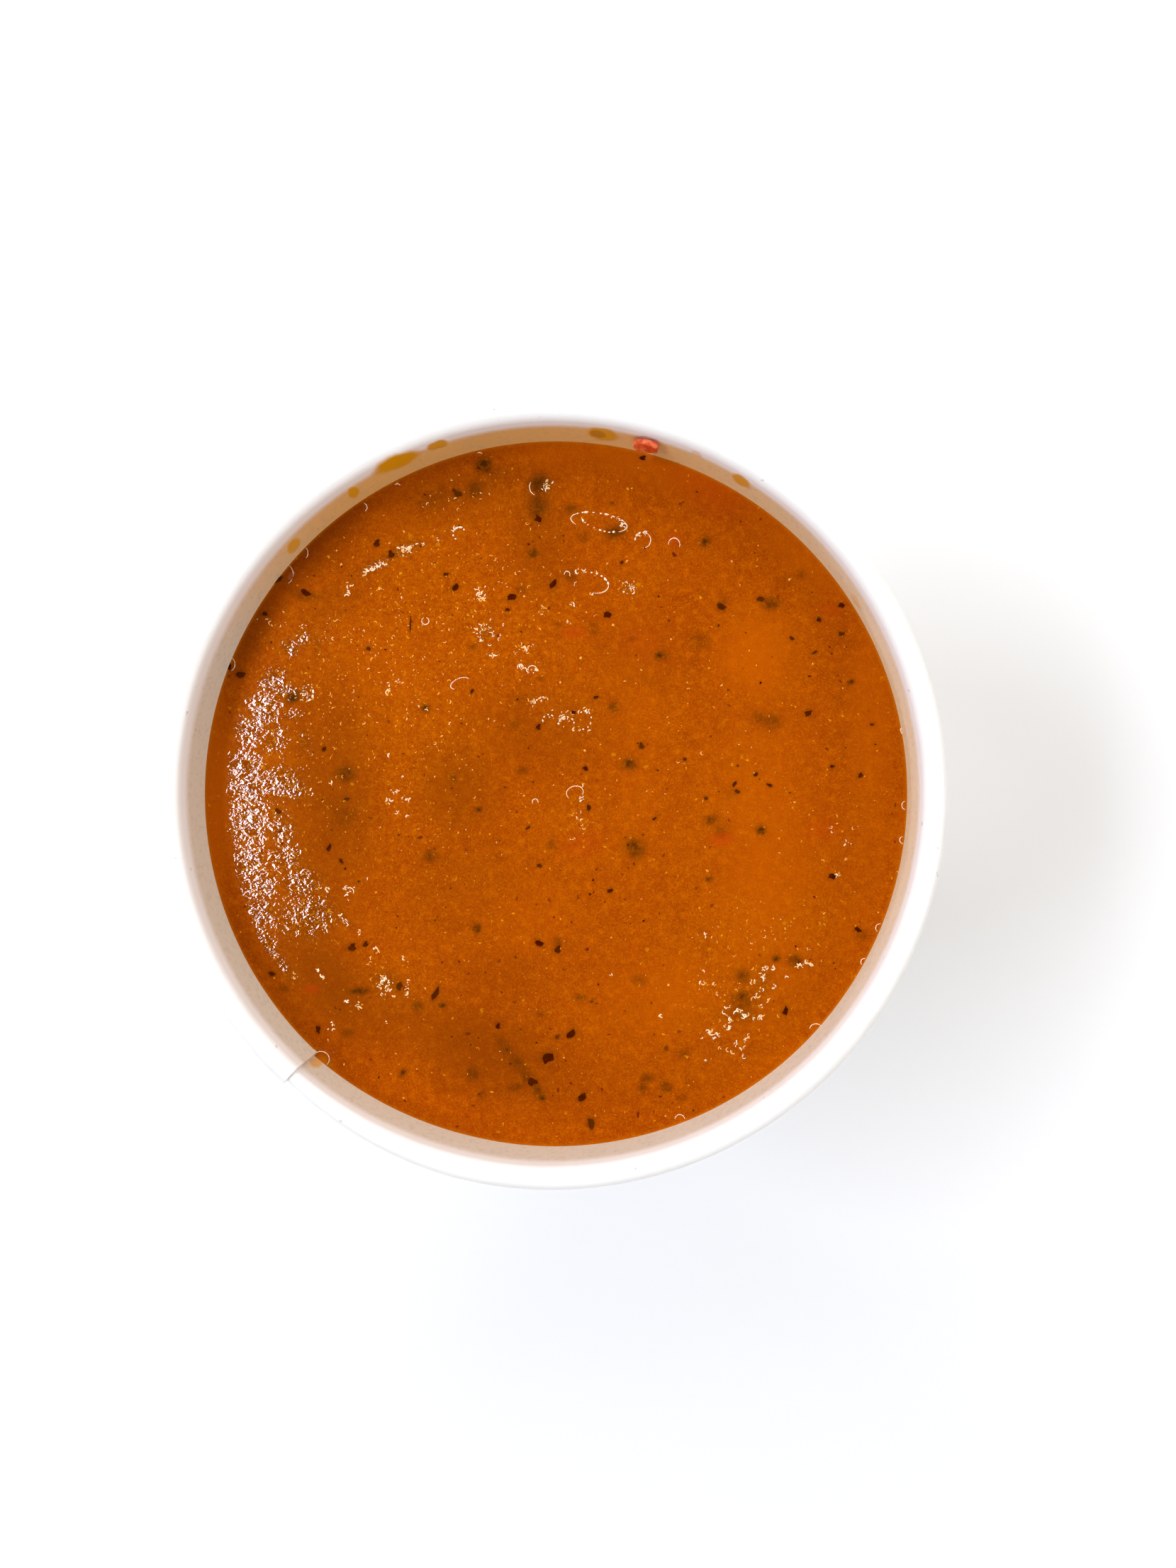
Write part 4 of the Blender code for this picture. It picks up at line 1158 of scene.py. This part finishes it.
def make_flake_finish():
    made, nodes, shader, place = finish_named("herb_leaf", 0.5, Specular_IOR_Level=0.0)
    tone = nodes.stored("tone")
    colour = nodes.mix(nodes.spread(tone, 0.05, 0.5), DARK_BROWN, OLIVE_BROWN)
    colour = nodes.mix(nodes.spread(tone, 0.5, 0.85), colour, DARK_RED)
    veins = nodes.spread(nodes.noise(place, 0.4 * MM, 4.0, 0.6, 0.6), 0.4, 0.75, 0.0, 0.35)
    wire(nodes, shader, "Base Color", nodes.mix(veins, colour, OLIVE_BROWN))
    bump(nodes, shader, nodes.noise(place, 0.25 * MM, 3.0), 0.03 * MM)
    return made


def make_flakes():
    draw = random.Random(11)
    shapes = [torn_plate(draw, corners, bend) for corners, bend in PLATES]
    rows = []
    for px, py, length, width, turn, tone in FLAKES:
        if SOFT_TONE < tone < RED_TONE:
            continue
        place = on_soup(px, py)
        place.z -= FLAKE_SUNK
        size = (FLAKE_STRETCH * length * PIXEL, FLAKE_STRETCH * width * PIXEL, FLAKE_THICKNESS)
        tilt = (draw.uniform(-FLAKE_TILT, FLAKE_TILT), draw.uniform(-FLAKE_TILT, FLAKE_TILT), math.radians(turn))
        rows.append((place, tilt, size, tone, draw.randrange(len(PLATES))))
    for _ in range(CRUMBS):
        place = somewhere(draw, CRUMB_REACH, CRUMB_SUNK)
        length = draw.uniform(*CRUMB_LENGTHS) * MM
        turn = any_way(draw)
        size = (length, length * draw.uniform(*CRUMB_WIDTHS), FLAKE_THICKNESS)
        rows.append((place, turn, size, draw.random(), draw.randrange(len(PLATES))))
    return scatter("herb_flakes", rows, shapes, make_flake_finish())


flakes = make_flakes()

# %% [markdown]
# ## Pulp
# Bits of pulp sit at the surface as small yellow lumps. A few ball shapes with their points pushed in and out
# are enough, because each is stretched and turned. Most are tiny and a few are nearly a millimetre long.

# %% Pulp
PULP_COUNT, PULP_REACH = 420, 0.98
PULP_SHAPES = 4
# Least and most length in mm, how fast long ones get rare, width by length
PULP_LEAST, PULP_MOST, PULP_RARITY = 0.22, 0.95, 6.5
PULP_WIDTHS = (0.4, 0.9)
PULP_SUNK = 0.035 * MM
PULP_THICKNESS = 0.12 * MM
PULP_ORANGE, PULP_PALE = (0.62, 0.17, 0.004), (0.85, 0.36, 0.02)


def lump(draw):
    """A small uneven lump of pulp, low in the soup."""
    shape = bmesh.new()
    bmesh.ops.create_icosphere(shape, subdivisions=1, radius=0.5)
    for vert in shape.verts:
        vert.co *= draw.uniform(0.7, 1.15)
    mesh = bpy.data.meshes.new("lump")
    shape.to_mesh(mesh)
    shape.free()
    mesh.shade_smooth()
    return mesh


def make_pulp_finish():
    made, nodes, shader, place = finish_named("tomato_pulp", 0.22)
    tint = nodes.spread(nodes.noise(place, 1.1 * MM, 2.0), 0.35, 0.65)
    wire(nodes, shader, "Base Color", nodes.mix(tint, PULP_ORANGE, PULP_PALE))
    bump(nodes, shader, nodes.noise(place, 0.2 * MM, 2.0), 0.02 * MM)
    return made


def make_pulp():
    draw = random.Random(23)
    shapes = [lump(draw) for _ in range(PULP_SHAPES)]
    rows = []
    while len(rows) < PULP_COUNT:
        place = somewhere(draw, PULP_REACH, PULP_SUNK)
        length = MM * min(PULP_MOST, PULP_LEAST + draw.expovariate(PULP_RARITY))
        size = (length, length * draw.uniform(*PULP_WIDTHS), PULP_THICKNESS)
        rows.append((place, any_way(draw), size, 0.5, draw.randrange(PULP_SHAPES)))
    return scatter("tomato_pulp", rows, shapes, make_pulp_finish())


pulp = make_pulp()

# %% [markdown]
# ## Where the small bubbles are
# Small bubbles gather in patches, at the rims of larger ones and beside leaves. Each patch was read from the
# photograph, with a number of bubbles and how bright their painted glints are.

# %% Patches of small bubbles
# Each patch: pixel, half length, half width, turn in degrees, number, tone of the painted glint (0 gold, 1 white)
PATCHES = (
    (573, 773, 12, 6, 25, 12, 1.0), (598, 767, 5, 4, 0, 3, 0.9), (618, 761, 4, 3, 0, 2, 0.8),
    (516, 808, 5, 7, 0, 6, 1.0), (535, 798, 14, 4, 28, 8, 0.9), (494, 827, 4, 5, 0, 3, 0.9),
    (491, 838, 3, 4, 0, 2, 0.8), (567, 842, 3, 6, 0, 3, 0.8), (673, 832, 5, 4, 0, 3, 0.9),
    (680, 842, 10, 7, 0, 7, 0.9), (684, 892, 13, 11, 0, 16, 0.85), (708, 881, 4, 3, 0, 2, 0.9),
    (706, 896, 3, 3, 0, 2, 0.7), (690, 925, 11, 6, 10, 7, 0.8), (741, 917, 11, 5, 25, 9, 0.7),
    (734, 941, 4, 4, 0, 2, 0.8), (750, 945, 8, 6, 0, 5, 0.8), (752, 989, 7, 10, -60, 9, 0.8),
    (766, 860, 8, 7, 0, 7, 0.6), (809, 853, 5, 3, 0, 3, 0.9), (834, 838, 3, 3, 0, 2, 0.9),
    (842, 866, 4, 4, 0, 2, 0.4), (823, 877, 3, 3, 0, 1, 0.6), (802, 877, 6, 2, 0, 3, 0.7),
    (886, 829, 8, 9, 0, 16, 0.85), (771, 683, 9, 7, -40, 10, 1.0), (640, 745, 5, 5, 0, 3, 0.9),
    (800, 1010, 20, 12, 0, 9, 0.6), (822, 1003, 10, 5, 10, 7, 0.9), (768, 985, 7, 6, 0, 4, 0.7),
    (818, 1027, 14, 8, 0, 6, 0.6), (811, 1112, 6, 5, 0, 5, 0.8), (818, 1128, 8, 5, 0, 5, 0.8),
    (822, 1160, 14, 20, 0, 9, 0.4), (806, 1183, 6, 4, 0, 3, 0.8), (562, 962, 9, 6, 0, 4, 0.5),
    (548, 970, 3, 8, 0, 5, 0.9), (429, 978, 6, 9, 0, 7, 0.7), (547, 1129, 4, 4, 0, 3, 0.9),
    (557, 1116, 5, 4, 0, 4, 0.9), (569, 1128, 8, 5, 0, 5, 0.7), (569, 1096, 3, 3, 0, 1, 0.8),
    (549, 1064, 2, 2, 0, 1, 0.9), (560, 1146, 2, 2, 0, 1, 0.9), (575, 1151, 3, 4, 0, 2, 0.9),
    (439, 1118, 4, 5, 0, 3, 0.9), (467, 1104, 2, 4, 0, 2, 1.0), (519, 1240, 3, 3, 0, 2, 0.5),
    (493, 1256, 8, 4, 0, 5, 0.8), (463, 1254, 6, 4, 0, 4, 0.9), (491, 1262, 6, 8, 0, 4, 0.7),
    (508, 1316, 3, 5, 0, 3, 1.0), (486, 1298, 10, 3, -45, 5, 0.9), (1049, 1433, 9, 3, -5, 6, 1.0),
    (1041, 1425, 8, 4, 0, 5, 1.0), (1026, 1421, 4, 4, 0, 4, 0.9), (1022, 1430, 2, 3, 0, 2, 1.0),
    (1029, 1439, 4, 3, 45, 4, 0.9), (1023, 1447, 2, 5, 0, 3, 0.9), (1026, 1452, 5, 3, 0, 4, 1.0),
    (1001, 1457, 6, 3, 10, 5, 1.0), (1012, 1458, 5, 3, 0, 4, 0.9), (1006, 1465, 4, 3, 20, 3, 0.9),
    (1073, 1433, 4, 5, 0, 5, 1.0), (1064, 1437, 2, 2, 0, 1, 1.0), (1073, 1419, 4, 4, 0, 4, 0.9),
    (1084, 1412, 4, 3, 0, 3, 0.9), (1067, 1404, 4, 5, 0, 5, 0.8), (1075, 1399, 4, 4, 0, 2, 0.8),
    (1091, 1392, 3, 4, 0, 3, 1.0), (1063, 1384, 5, 4, 0, 5, 0.9), (1077, 1377, 5, 5, 0, 5, 0.9),
    (1077, 1368, 9, 4, 25, 7, 0.9), (1089, 1366, 3, 3, 0, 2, 0.9), (1130, 1362, 4, 3, 0, 4, 0.9),
    (1140, 1356, 4, 2, 25, 3, 0.8), (1145, 1362, 2, 3, 0, 2, 0.9), (1108, 1378, 2, 2, 0, 1, 1.0),
    (995, 1319, 3, 4, -20, 3, 0.8), (990, 1387, 4, 4, 0, 3, 0.8), (1007, 1390, 2, 3, 0, 1, 0.8),
    (1012, 1403, 2, 3, 0, 2, 0.8), (994, 1369, 3, 3, 40, 2, 0.7), (1052, 1466, 9, 3, 50, 7, 0.9),
    (1046, 1477, 4, 4, 50, 3, 0.9), (1037, 1473, 2, 5, 0, 3, 0.8), (1017, 1480, 4, 2, -15, 2, 0.7),
    (1030, 1484, 4, 2, -30, 2, 0.9), (1049, 1490, 2, 4, 0, 2, 0.9), (995, 1496, 2, 2, 0, 1, 1.0),
    (990, 1465, 2, 1, 0, 1, 0.9), (933, 1433, 2, 2, 0, 1, 0.9), (1030, 1400, 50, 60, 0, 26, 0.2),
    (1085, 1320, 80, 40, 0, 26, 0.25), (544, 1380, 9, 5, -20, 9, 1.0), (538, 1390, 13, 7, 0, 10, 0.7),
    (550, 1395, 12, 9, 0, 9, 0.8), (540, 1403, 5, 3, 0, 3, 0.8), (556, 1406, 4, 2, 15, 3, 0.9),
    (574, 1396, 3, 14, 0, 8, 0.8), (489, 1413, 3, 4, 45, 3, 1.0), (504, 1418, 12, 4, 0, 7, 0.6),
    (470, 1445, 3, 2, -30, 2, 1.0), (468, 1452, 4, 2, 0, 2, 1.0), (448, 1370, 3, 4, 0, 3, 1.0),
    (455, 1377, 2, 2, 0, 2, 1.0), (532, 1340, 6, 4, -20, 4, 0.8), (569, 1353, 2, 3, 0, 2, 0.9),
    (545, 1442, 2, 2, 0, 1, 0.8), (527, 1355, 20, 20, 0, 8, 0.3), (412, 1380, 8, 5, 0, 5, 0.6),
    (864, 1375, 5, 3, 0, 3, 0.8), (390, 875, 26, 16, 0, 10, 0.6), (450, 1010, 70, 150, 0, 60, 0.2),
    (580, 930, 150, 90, 0, 100, 0.25), (700, 800, 120, 70, 0, 60, 0.25), (855, 731, 18, 3, -8, 6, 1.0),
    (850, 744, 16, 4, 5, 7, 1.0), (877, 740, 6, 4, 0, 6, 1.0), (820, 806, 8, 3, 0, 5, 1.0),
    (835, 812, 10, 6, 0, 5, 0.9), (686, 892, 13, 12, 0, 22, 0.9), (737, 917, 10, 8, 0, 10, 0.85),
    (680, 838, 9, 9, 0, 7, 0.9), (886, 829, 9, 9, 0, 10, 0.9), (768, 688, 5, 6, 0, 5, 1.0),
    (800, 1012, 22, 8, 0, 10, 0.85), (572, 775, 14, 6, 25, 8, 1.0), (530, 800, 18, 5, 28, 8, 1.0),
    (640, 700, 60, 20, 20, 12, 0.4), (512, 905, 60, 60, 0, 26, 0.35), (600, 1030, 90, 60, 0, 30, 0.35),
    (470, 900, 60, 30, 0, 14, 0.5), (1195, 1190, 5, 4, 0, 3, 0.9), (1180, 1236, 8, 6, 0, 4, 0.5),
    (1171, 1170, 6, 6, 0, 3, 0.5), (1160, 1160, 90, 60, 0, 14, 0.2), (1030, 1040, 120, 80, 0, 14, 0.2),
    (640, 1180, 100, 80, 0, 16, 0.15), (905, 755, 8, 6, 0, 5, 0.9),
)
print(sum(patch[5] for patch in PATCHES), "small bubbles in", len(PATCHES), "patches")

# %% [markdown]
# ## Rims of the larger bubbles
# A larger bubble shows as part of an outline, the side of its film that catches the light, drawn here as a
# painted highlight in white and gold. Some rims are a continuous line and some a row of beads, where tiny
# bubbles cling to the film.

# %% Rims of large bubbles
# Each rim: pixel, half length, half width, turn, start and end angle, beads instead of a line
RINGS = (
    (845, 737, 40, 13, -9, 140, 215, False), (845, 737, 40, 13, -9, 35, 145, True),
    (845, 737, 40, 13, -9, -40, 35, False), (845, 741, 24, 6, -20, 190, 340, True),
    (907, 762, 11, 11, 0, 60, 170, True), (907, 762, 11, 11, 0, -85, 55, False),
    (951, 768, 8, 9, 0, -15, 175, False), (835, 822, 24, 14, -15, 20, 120, True),
    (835, 822, 24, 14, -15, -75, 20, False), (836, 823, 6, 6, 0, -20, 110, False),
    (814, 825, 4, 4, 0, 10, 190, False), (800, 810, 4, 4, 0, -20, 170, False),
    (600, 876, 5, 5, 0, -230, 60, False), (759, 687, 12, 12, 0, 150, 240, False),
    (648, 753, 9, 9, 0, 40, 230, True), (649, 964, 14, 7, 22, 20, 215, False),
    (453, 1494, 12, 11, 0, -35, 165, False), (402, 810, 12, 14, 0, -60, 58, False),
    (429, 780, 6, 8, 0, -50, 50, False), (324, 937, 8, 10, 0, -60, 65, False),
    (1151, 1452, 9, 8, 0, 45, 165, False), (512, 716, 6, 6, 0, -50, 60, False),
    (561, 688, 5, 5, 0, 50, 120, False), (677, 644, 5, 5, 0, 60, 110, False),
    (959, 1579, 7, 7, 0, 20, 160, False), (1241, 1309, 6, 6, 0, 90, 220, False),
    (1219, 1357, 5, 5, 0, 90, 210, False), (1277, 1136, 5, 6, 0, 110, 250, False),
    (1274, 1185, 5, 5, 0, 110, 250, False), (1275, 1030, 5, 6, 0, 110, 250, False),
    (434, 977, 8, 11, 0, -70, 80, True), (491, 1258, 8, 6, 0, -20, 120, False),
    (755, 1131, 4, 4, 0, 0, 200, False), (799, 1022, 11, 11, 0, 10, 175, True),
    (824, 1016, 10, 13, -15, -75, 130, True), (774, 1016, 8, 8, 0, 50, 185, True),
    (811, 1118, 12, 9, 15, -30, 200, False), (734, 941, 4, 4, 0, -60, 200, False),
    (751, 944, 6, 5, 0, 0, 190, False),
)
# A line: step, length of each wire, width at its ends and how much it swells between them, in pixels
LINE_STEP, LINE_LENGTH, LINE_THIN, LINE_SWELL = 2.2, 3.4, 0.9, 0.8
# Beads: step and width in pixels, length by width, and how far they stray along the rim in radians
BEAD_STEPS, BEAD_WIDTHS, BEAD_STRETCH, BEAD_STRAY = (5.0, 7.0), (2.0, 4.0), (1.0, 2.4), 0.06
RIM_TONES = (0.75, 1.0)
# How many bent wires, then lumps, the films are drawn from
WIRES, LUMPS = 7, 3


def beside(px, py, turn, u, v):
    """The point of the soup that lies u along and v across a patch, in pixels."""
    c, s = math.cos(math.radians(turn)), math.sin(math.radians(turn))
    return on_soup(px + u * c - v * s, py - u * s - v * c)


def ring_rows(draw, ring):
    """Lays short overlapping wires, or loose beads, along part of a bubble's outline."""
    px, py, half_length, half_width, turn, start, end, beaded = ring
    step = draw.uniform(*BEAD_STEPS) if beaded else LINE_STEP
    around = math.radians(end - start) * (half_length + half_width) / 2
    count = max(2, round(around / step))
    rows = []
    for i in range(count + 1):
        angle = math.radians(start + (end - start) * i / count)
        if beaded:
            angle += draw.uniform(-BEAD_STRAY, BEAD_STRAY)
        u, v = half_length * math.cos(angle), half_width * math.sin(angle)
        along = math.atan2(half_width * math.cos(angle), -half_length * math.sin(angle)) + math.radians(turn)
        ends = math.sin(math.pi * (i + 0.8) / (count + 1.6))
        thick = (draw.uniform(*BEAD_WIDTHS) if beaded else LINE_THIN + LINE_SWELL * ends) * PIXEL
        size = (thick * draw.uniform(*BEAD_STRETCH) if beaded else LINE_LENGTH * PIXEL, thick, thick)
        tone = draw.uniform(*RIM_TONES)
        rows.append((beside(px, py, turn, u, v), (0.0, 0.0, along), size, tone, WIRES + draw.randrange(LUMPS)))
    return rows


print(len(RINGS), "rims")

# %% [markdown]
# ## Bubble films and their painted glints
# Each tiny bubble shows a short bright arc, the rim of its film. The arcs are thin bent wires of a few faces,
# thick enough to catch the light and no more, mixed with small lumps for the bubbles that show as a dot. Their
# white and gold colour is a painted highlight. They go through the same scatter tree.

# %% Bubble films
WIRE_STEPS, WIRE_SIDES = 5, 4
# Bright patches are drawn denser than dull ones
BRIGHT_TONE, BRIGHT_CROWD, DULL_CROWD = 0.75, 1.5, 1.25
PATCH_SPREAD, TONE_STRAY = 0.5, (-0.25, 0.2)
# Share of arcs, their radius in pixels, and the length of the dots
ARC_SHARE, ARC_RADII, DOT_LENGTHS = 0.62, (1.5, 3.8), (1.8, 4.8)
DIM_SHARE, DIM_TONE = 0.3, 0.35
# Painted highlight colours of the bubble films: white cores, gold fringes
GLINT_WHITE = (0.95, 0.79, 0.57)
GLINT_GOLD = (0.88, 0.42, 0.05)


def bent_wire(draw):
    """A short arc of wire of unit radius, with four sides."""
    sweep = math.radians(draw.uniform(60, 230))
    thickness = draw.uniform(0.2, 0.34)
    points, faces = [], []
    for i in range(WIRE_STEPS + 1):
        angle = sweep * (i / WIRE_STEPS - 0.5)
        taper = thickness * (0.35 + 0.65 * math.sin(math.pi * (i + 0.6) / (WIRE_STEPS + 1.2)))
        for across, up in ((taper, 0.0), (0.0, taper), (-taper, 0.0), (0.0, -taper)):
            points.append(((1 + across) * math.cos(angle) - 0.6, (1 + across) * math.sin(angle), up))
    for i in range(WIRE_STEPS):
        for k in range(WIRE_SIDES):
            a, b = WIRE_SIDES * i + k, WIRE_SIDES * i + (k + 1) % WIRE_SIDES
            faces.append((a, b, b + WIRE_SIDES, a + WIRE_SIDES))
    faces += [(3, 2, 1, 0), tuple(WIRE_SIDES * WIRE_STEPS + k for k in range(WIRE_SIDES))]
    return mesh_of("bent wire", points, faces)


def make_glint_finish():
    made, nodes, shader, place = finish_named("bubble_glint", 0.3, Specular_IOR_Level=0.05)
    # White and gold by tone: painted highlights on the films
    shade = nodes.spread(nodes.noise(place, 0.8 * MM, 2.0), 0.3, 0.7, -0.15, 0.15)
    share = nodes.spread(nodes.math("ADD", nodes.stored("tone"), shade), 0.1, 0.9, 0.0, 1.0, "LINEAR")
    wire(nodes, shader, "Base Color", nodes.mix(share, GLINT_GOLD, GLINT_WHITE))
    return made


def patch_rows(draw, patch):
    """Scatters arcs and dots over a patch, thickest in its middle."""
    px, py, half_length, half_width, turn, count, tone = patch
    rows = []
    for _ in range(round(count * (BRIGHT_CROWD if tone > BRIGHT_TONE else DULL_CROWD))):
        u, v = draw.gauss(0, PATCH_SPREAD) * half_length, draw.gauss(0, PATCH_SPREAD) * half_width
        shade = min(1.0, max(0.0, tone + draw.uniform(*TONE_STRAY)))
        shade *= DIM_TONE if draw.random() < DIM_SHARE else 1.0
        facing = any_way(draw)
        if draw.random() < ARC_SHARE:
            radius = draw.uniform(*ARC_RADII) * (0.6 + 0.4 * tone) * PIXEL
            size, kind = (radius, radius, radius * 0.8), draw.randrange(WIRES)
        else:
            length = draw.uniform(*DOT_LENGTHS) * (0.55 + 0.45 * tone) * PIXEL
            size, kind = (length, length * 0.5, length * 0.4), WIRES + draw.randrange(LUMPS)
        rows.append((beside(px, py, turn, u, v), facing, size, shade, kind))
    return rows


def make_glint_films():
    draw = random.Random(31)
    shapes = [bent_wire(draw) for _ in range(WIRES)] + [lump(draw) for _ in range(LUMPS)]
    rows = []
    for patch in PATCHES:
        rows += patch_rows(draw, patch)
    for ring in RINGS:
        rows += ring_rows(draw, ring)
    return scatter("bubble_films", rows, shapes, make_glint_finish())


glint_films = make_glint_films()

# %% [markdown]
# ## The piece of tomato
# One torn piece of tomato stuck to the wall when the cup was filled. It is a plate under a millimetre thick,
# with rounded edges and a wet, slightly veined skin.

# %% Piece of tomato
PIECE_ANGLE = math.radians(73.9)
PIECE_OUTLINE = ((-1.6, 0.5), (-0.5, 0.0), (0.8, -0.35), (1.7, 0.45), (1.6, 1.7), (0.3, 2.8), (-1.5, 2.7))
PIECE_DEPTH = 0.8 * MM
PIECE_BELOW_RIM = 4.5 * MM
PIECE_ROUNDING = 0.2 * MM
LONG_EDGE = 0.4 * MM
SKIN_DEPTH = 0.1 * MM
FLESH_WAVES, FLESH_WAVE_SPAN = 0.10 * MM, 0.7 * MM
FLESH_RED, FLESH_PALE = (0.62, 0.05, 0.006), (0.85, 0.20, 0.06)


def make_tomato(finish):
    bottom = CUP_HEIGHT - PIECE_BELOW_RIM
    widest = max(abs(along) for along, up in PIECE_OUTLINE) * MM
    radius = wall_inside(bottom)
    sag = radius - math.sqrt(radius ** 2 - widest ** 2)
    shape = bmesh.new()
    back = shape.faces.new([shape.verts.new((0.0, along * MM, up * MM)) for along, up in PIECE_OUTLINE])
    raised = bmesh.ops.extrude_face_region(shape, geom=[back])["geom"]
    lifted = [v for v in raised if isinstance(v, bmesh.types.BMVert)]
    bmesh.ops.translate(shape, verts=lifted, vec=(-PIECE_DEPTH, 0.0, 0.0))
    bmesh.ops.recalc_face_normals(shape, faces=shape.faces)
    bmesh.ops.bevel(shape, geom=shape.edges[:], offset=PIECE_ROUNDING, segments=3, affect="EDGES", profile=0.5)
    bmesh.ops.triangulate(shape, faces=[f for f in shape.faces if len(f.verts) > 4])
    long_edges = [edge for edge in shape.edges if edge.calc_length() > LONG_EDGE]
    bmesh.ops.subdivide_edges(shape, edges=long_edges, cuts=3, use_grid_fill=True)
    for vert in shape.verts:
        if vert.co.x < -SKIN_DEPTH:
            vert.co.x += FLESH_WAVES * noise.noise(vert.co / FLESH_WAVE_SPAN)
    seat = Matrix.Translation((radius - CLEARANCE - sag, 0.0, bottom))
    shape.transform(Matrix.Rotation(PIECE_ANGLE, 4, "Z") @ seat @ Matrix.Rotation(LEAN, 4, "Y"))
    mesh = bpy.data.meshes.new("tomato_bit")
    shape.to_mesh(mesh)
    shape.free()
    mesh.shade_smooth()
    return add_piece("tomato_bit", mesh, finish)


def make_tomato_finish():
    made, nodes, shader, place = finish_named("tomato_flesh", 0.25, Subsurface_Weight=0.15, Subsurface_Scale=0.001)
    flesh = nodes.spread(nodes.noise(place, 0.9 * MM, 4.0, 0.6, 0.4), 0.35, 0.68)
    wire(nodes, shader, "Base Color", nodes.mix(flesh, FLESH_RED, FLESH_PALE))
    bump(nodes, shader, nodes.noise(place, 0.45 * MM, 3.0), 0.08 * MM)
    return made


tomato = make_tomato(make_tomato_finish())
print("tomato_bit:", len(tomato.data.polygons), "faces")

# %% [markdown]
# ## Floor and room
# The floor is plain and pale, and so are the room's walls, but the ceiling is dark: still soup seen from above
# mirrors it, and that keeps its colour deep. The room is only a strength of the background that changes with
# height, which costs nothing to render and gives soft light from the sides.

# %% Floor and room
FLOOR_REACH = 5.0
FLOOR_GREY, FLOOR_PALE = (0.87, 0.87, 0.87), (0.90, 0.90, 0.90)
ROOM_WHITE = (1.0, 0.98, 0.96, 1.0)
WALL_TOP, CEILING = 0.30, 0.72
WALL_STRENGTH, CEILING_STRENGTH = 0.26, 0.006


def make_floor():
    made, nodes, shader, place = finish_named("pale_floor", 0.8)
    tint = nodes.noise(place, 90 * MM, 3.0)
    wire(nodes, shader, "Base Color", nodes.mix(tint, FLOOR_GREY, FLOOR_PALE))
    corners = [(x * FLOOR_REACH, y * FLOOR_REACH, 0) for x, y in ((-1, -1), (1, -1), (1, 1), (-1, 1))]
    mesh = bpy.data.meshes.new("floor")
    mesh.from_pydata(corners, [], [(0, 1, 2, 3)])
    return add_piece("floor", mesh, made)


def make_room():
    world = bpy.data.worlds.new("soft room")
    bpy.context.scene.world = world
    world.use_nodes = True
    room = Tree(world.node_tree)
    background = world.node_tree.nodes["Background"]
    background.inputs["Color"].default_value = ROOM_WHITE
    upward = room.split(room.add("ShaderNodeTexCoord").outputs["Generated"])[2]
    strength = room.spread(upward, WALL_TOP, CEILING, WALL_STRENGTH, CEILING_STRENGTH)
    room.tree.links.new(strength, background.inputs["Strength"])


floor = make_floor()
make_room()
print("the floor is", 2 * FLOOR_REACH, "m wide")

# %% [markdown]
# ## Light
# Most of the light is a broad soft source beyond the cup, with weaker ones to the right and near the viewer,
# so the wall near the viewer is the brightest. They are large, because a small lamp leaves a hard glare on
# wet soup. A narrow cool window hangs just outside what flat soup mirrors from here, so only the froth's
# steeper faces on the left catch it.

# %% Light
CUP_MIDDLE = (0, 0, 90)
# Each lamp: its place and what it faces, in mm, width and depth in mm, watts, colour
LAMPS = {
    "broad light": ((-100, 800, 760), CUP_MIDDLE, 1500, 800, 10.6, (1.0, 0.97, 0.94)),
    "side light": ((900, 0, 560), CUP_MIDDLE, 900, 700, 4.9, (1.0, 0.96, 0.92)),
    "near light": ((0, -900, 560), CUP_MIDDLE, 1200, 600, 3.1, (1.0, 1.0, 1.0)),
    "window": ((-453, 0, 828), (-36, 0, 91), 480, 200, 5.9, (0.84, 0.89, 1.0)),
}


def hang_light(name, place, aim, width, depth, watts, colour):
    lamp = bpy.data.lights.new(name, "AREA")
    lamp.shape = "RECTANGLE"
    lamp.size, lamp.size_y = width * MM, depth * MM
    lamp.energy = watts
    lamp.color = colour
    light = bpy.data.objects.new(name, lamp)
    light.location = Vector(place) * MM
    light.rotation_euler = (Vector(aim) * MM - light.location).to_track_quat("-Z", "Y").to_euler()
    light.visible_camera = False
    bpy.context.scene.collection.objects.link(light)


for name, lamp in LAMPS.items():
    hang_light(name, *lamp)
bpy.context.scene.view_settings.view_transform = "Standard"
bpy.context.scene.view_settings.look = "None"
print(len(LAMPS), "lights,", round(sum(lamp[4] for lamp in LAMPS.values()), 1), "watts in all")

# %% [markdown]
# ## Pieces on the body
# Every piece rides on the one body and says which solid it stands for, and those solids are hidden.

# %% Pieces on the body
import json

for piece, nodes_replaced, slot in (
    (sheet, ["cup_wall"], "cup_board"), (base, ["cup_base"], "base_board"), (soup, ["soup"], "tomato_soup"),
    (flakes, ["soup"], "tomato_soup"), (pulp, ["soup"], "tomato_soup"), (glint_films, ["soup"], "tomato_soup"),
    (tomato, ["tomato_piece"], "tomato_flesh"),
):
    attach(piece, "root")
    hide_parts(*nodes_replaced)
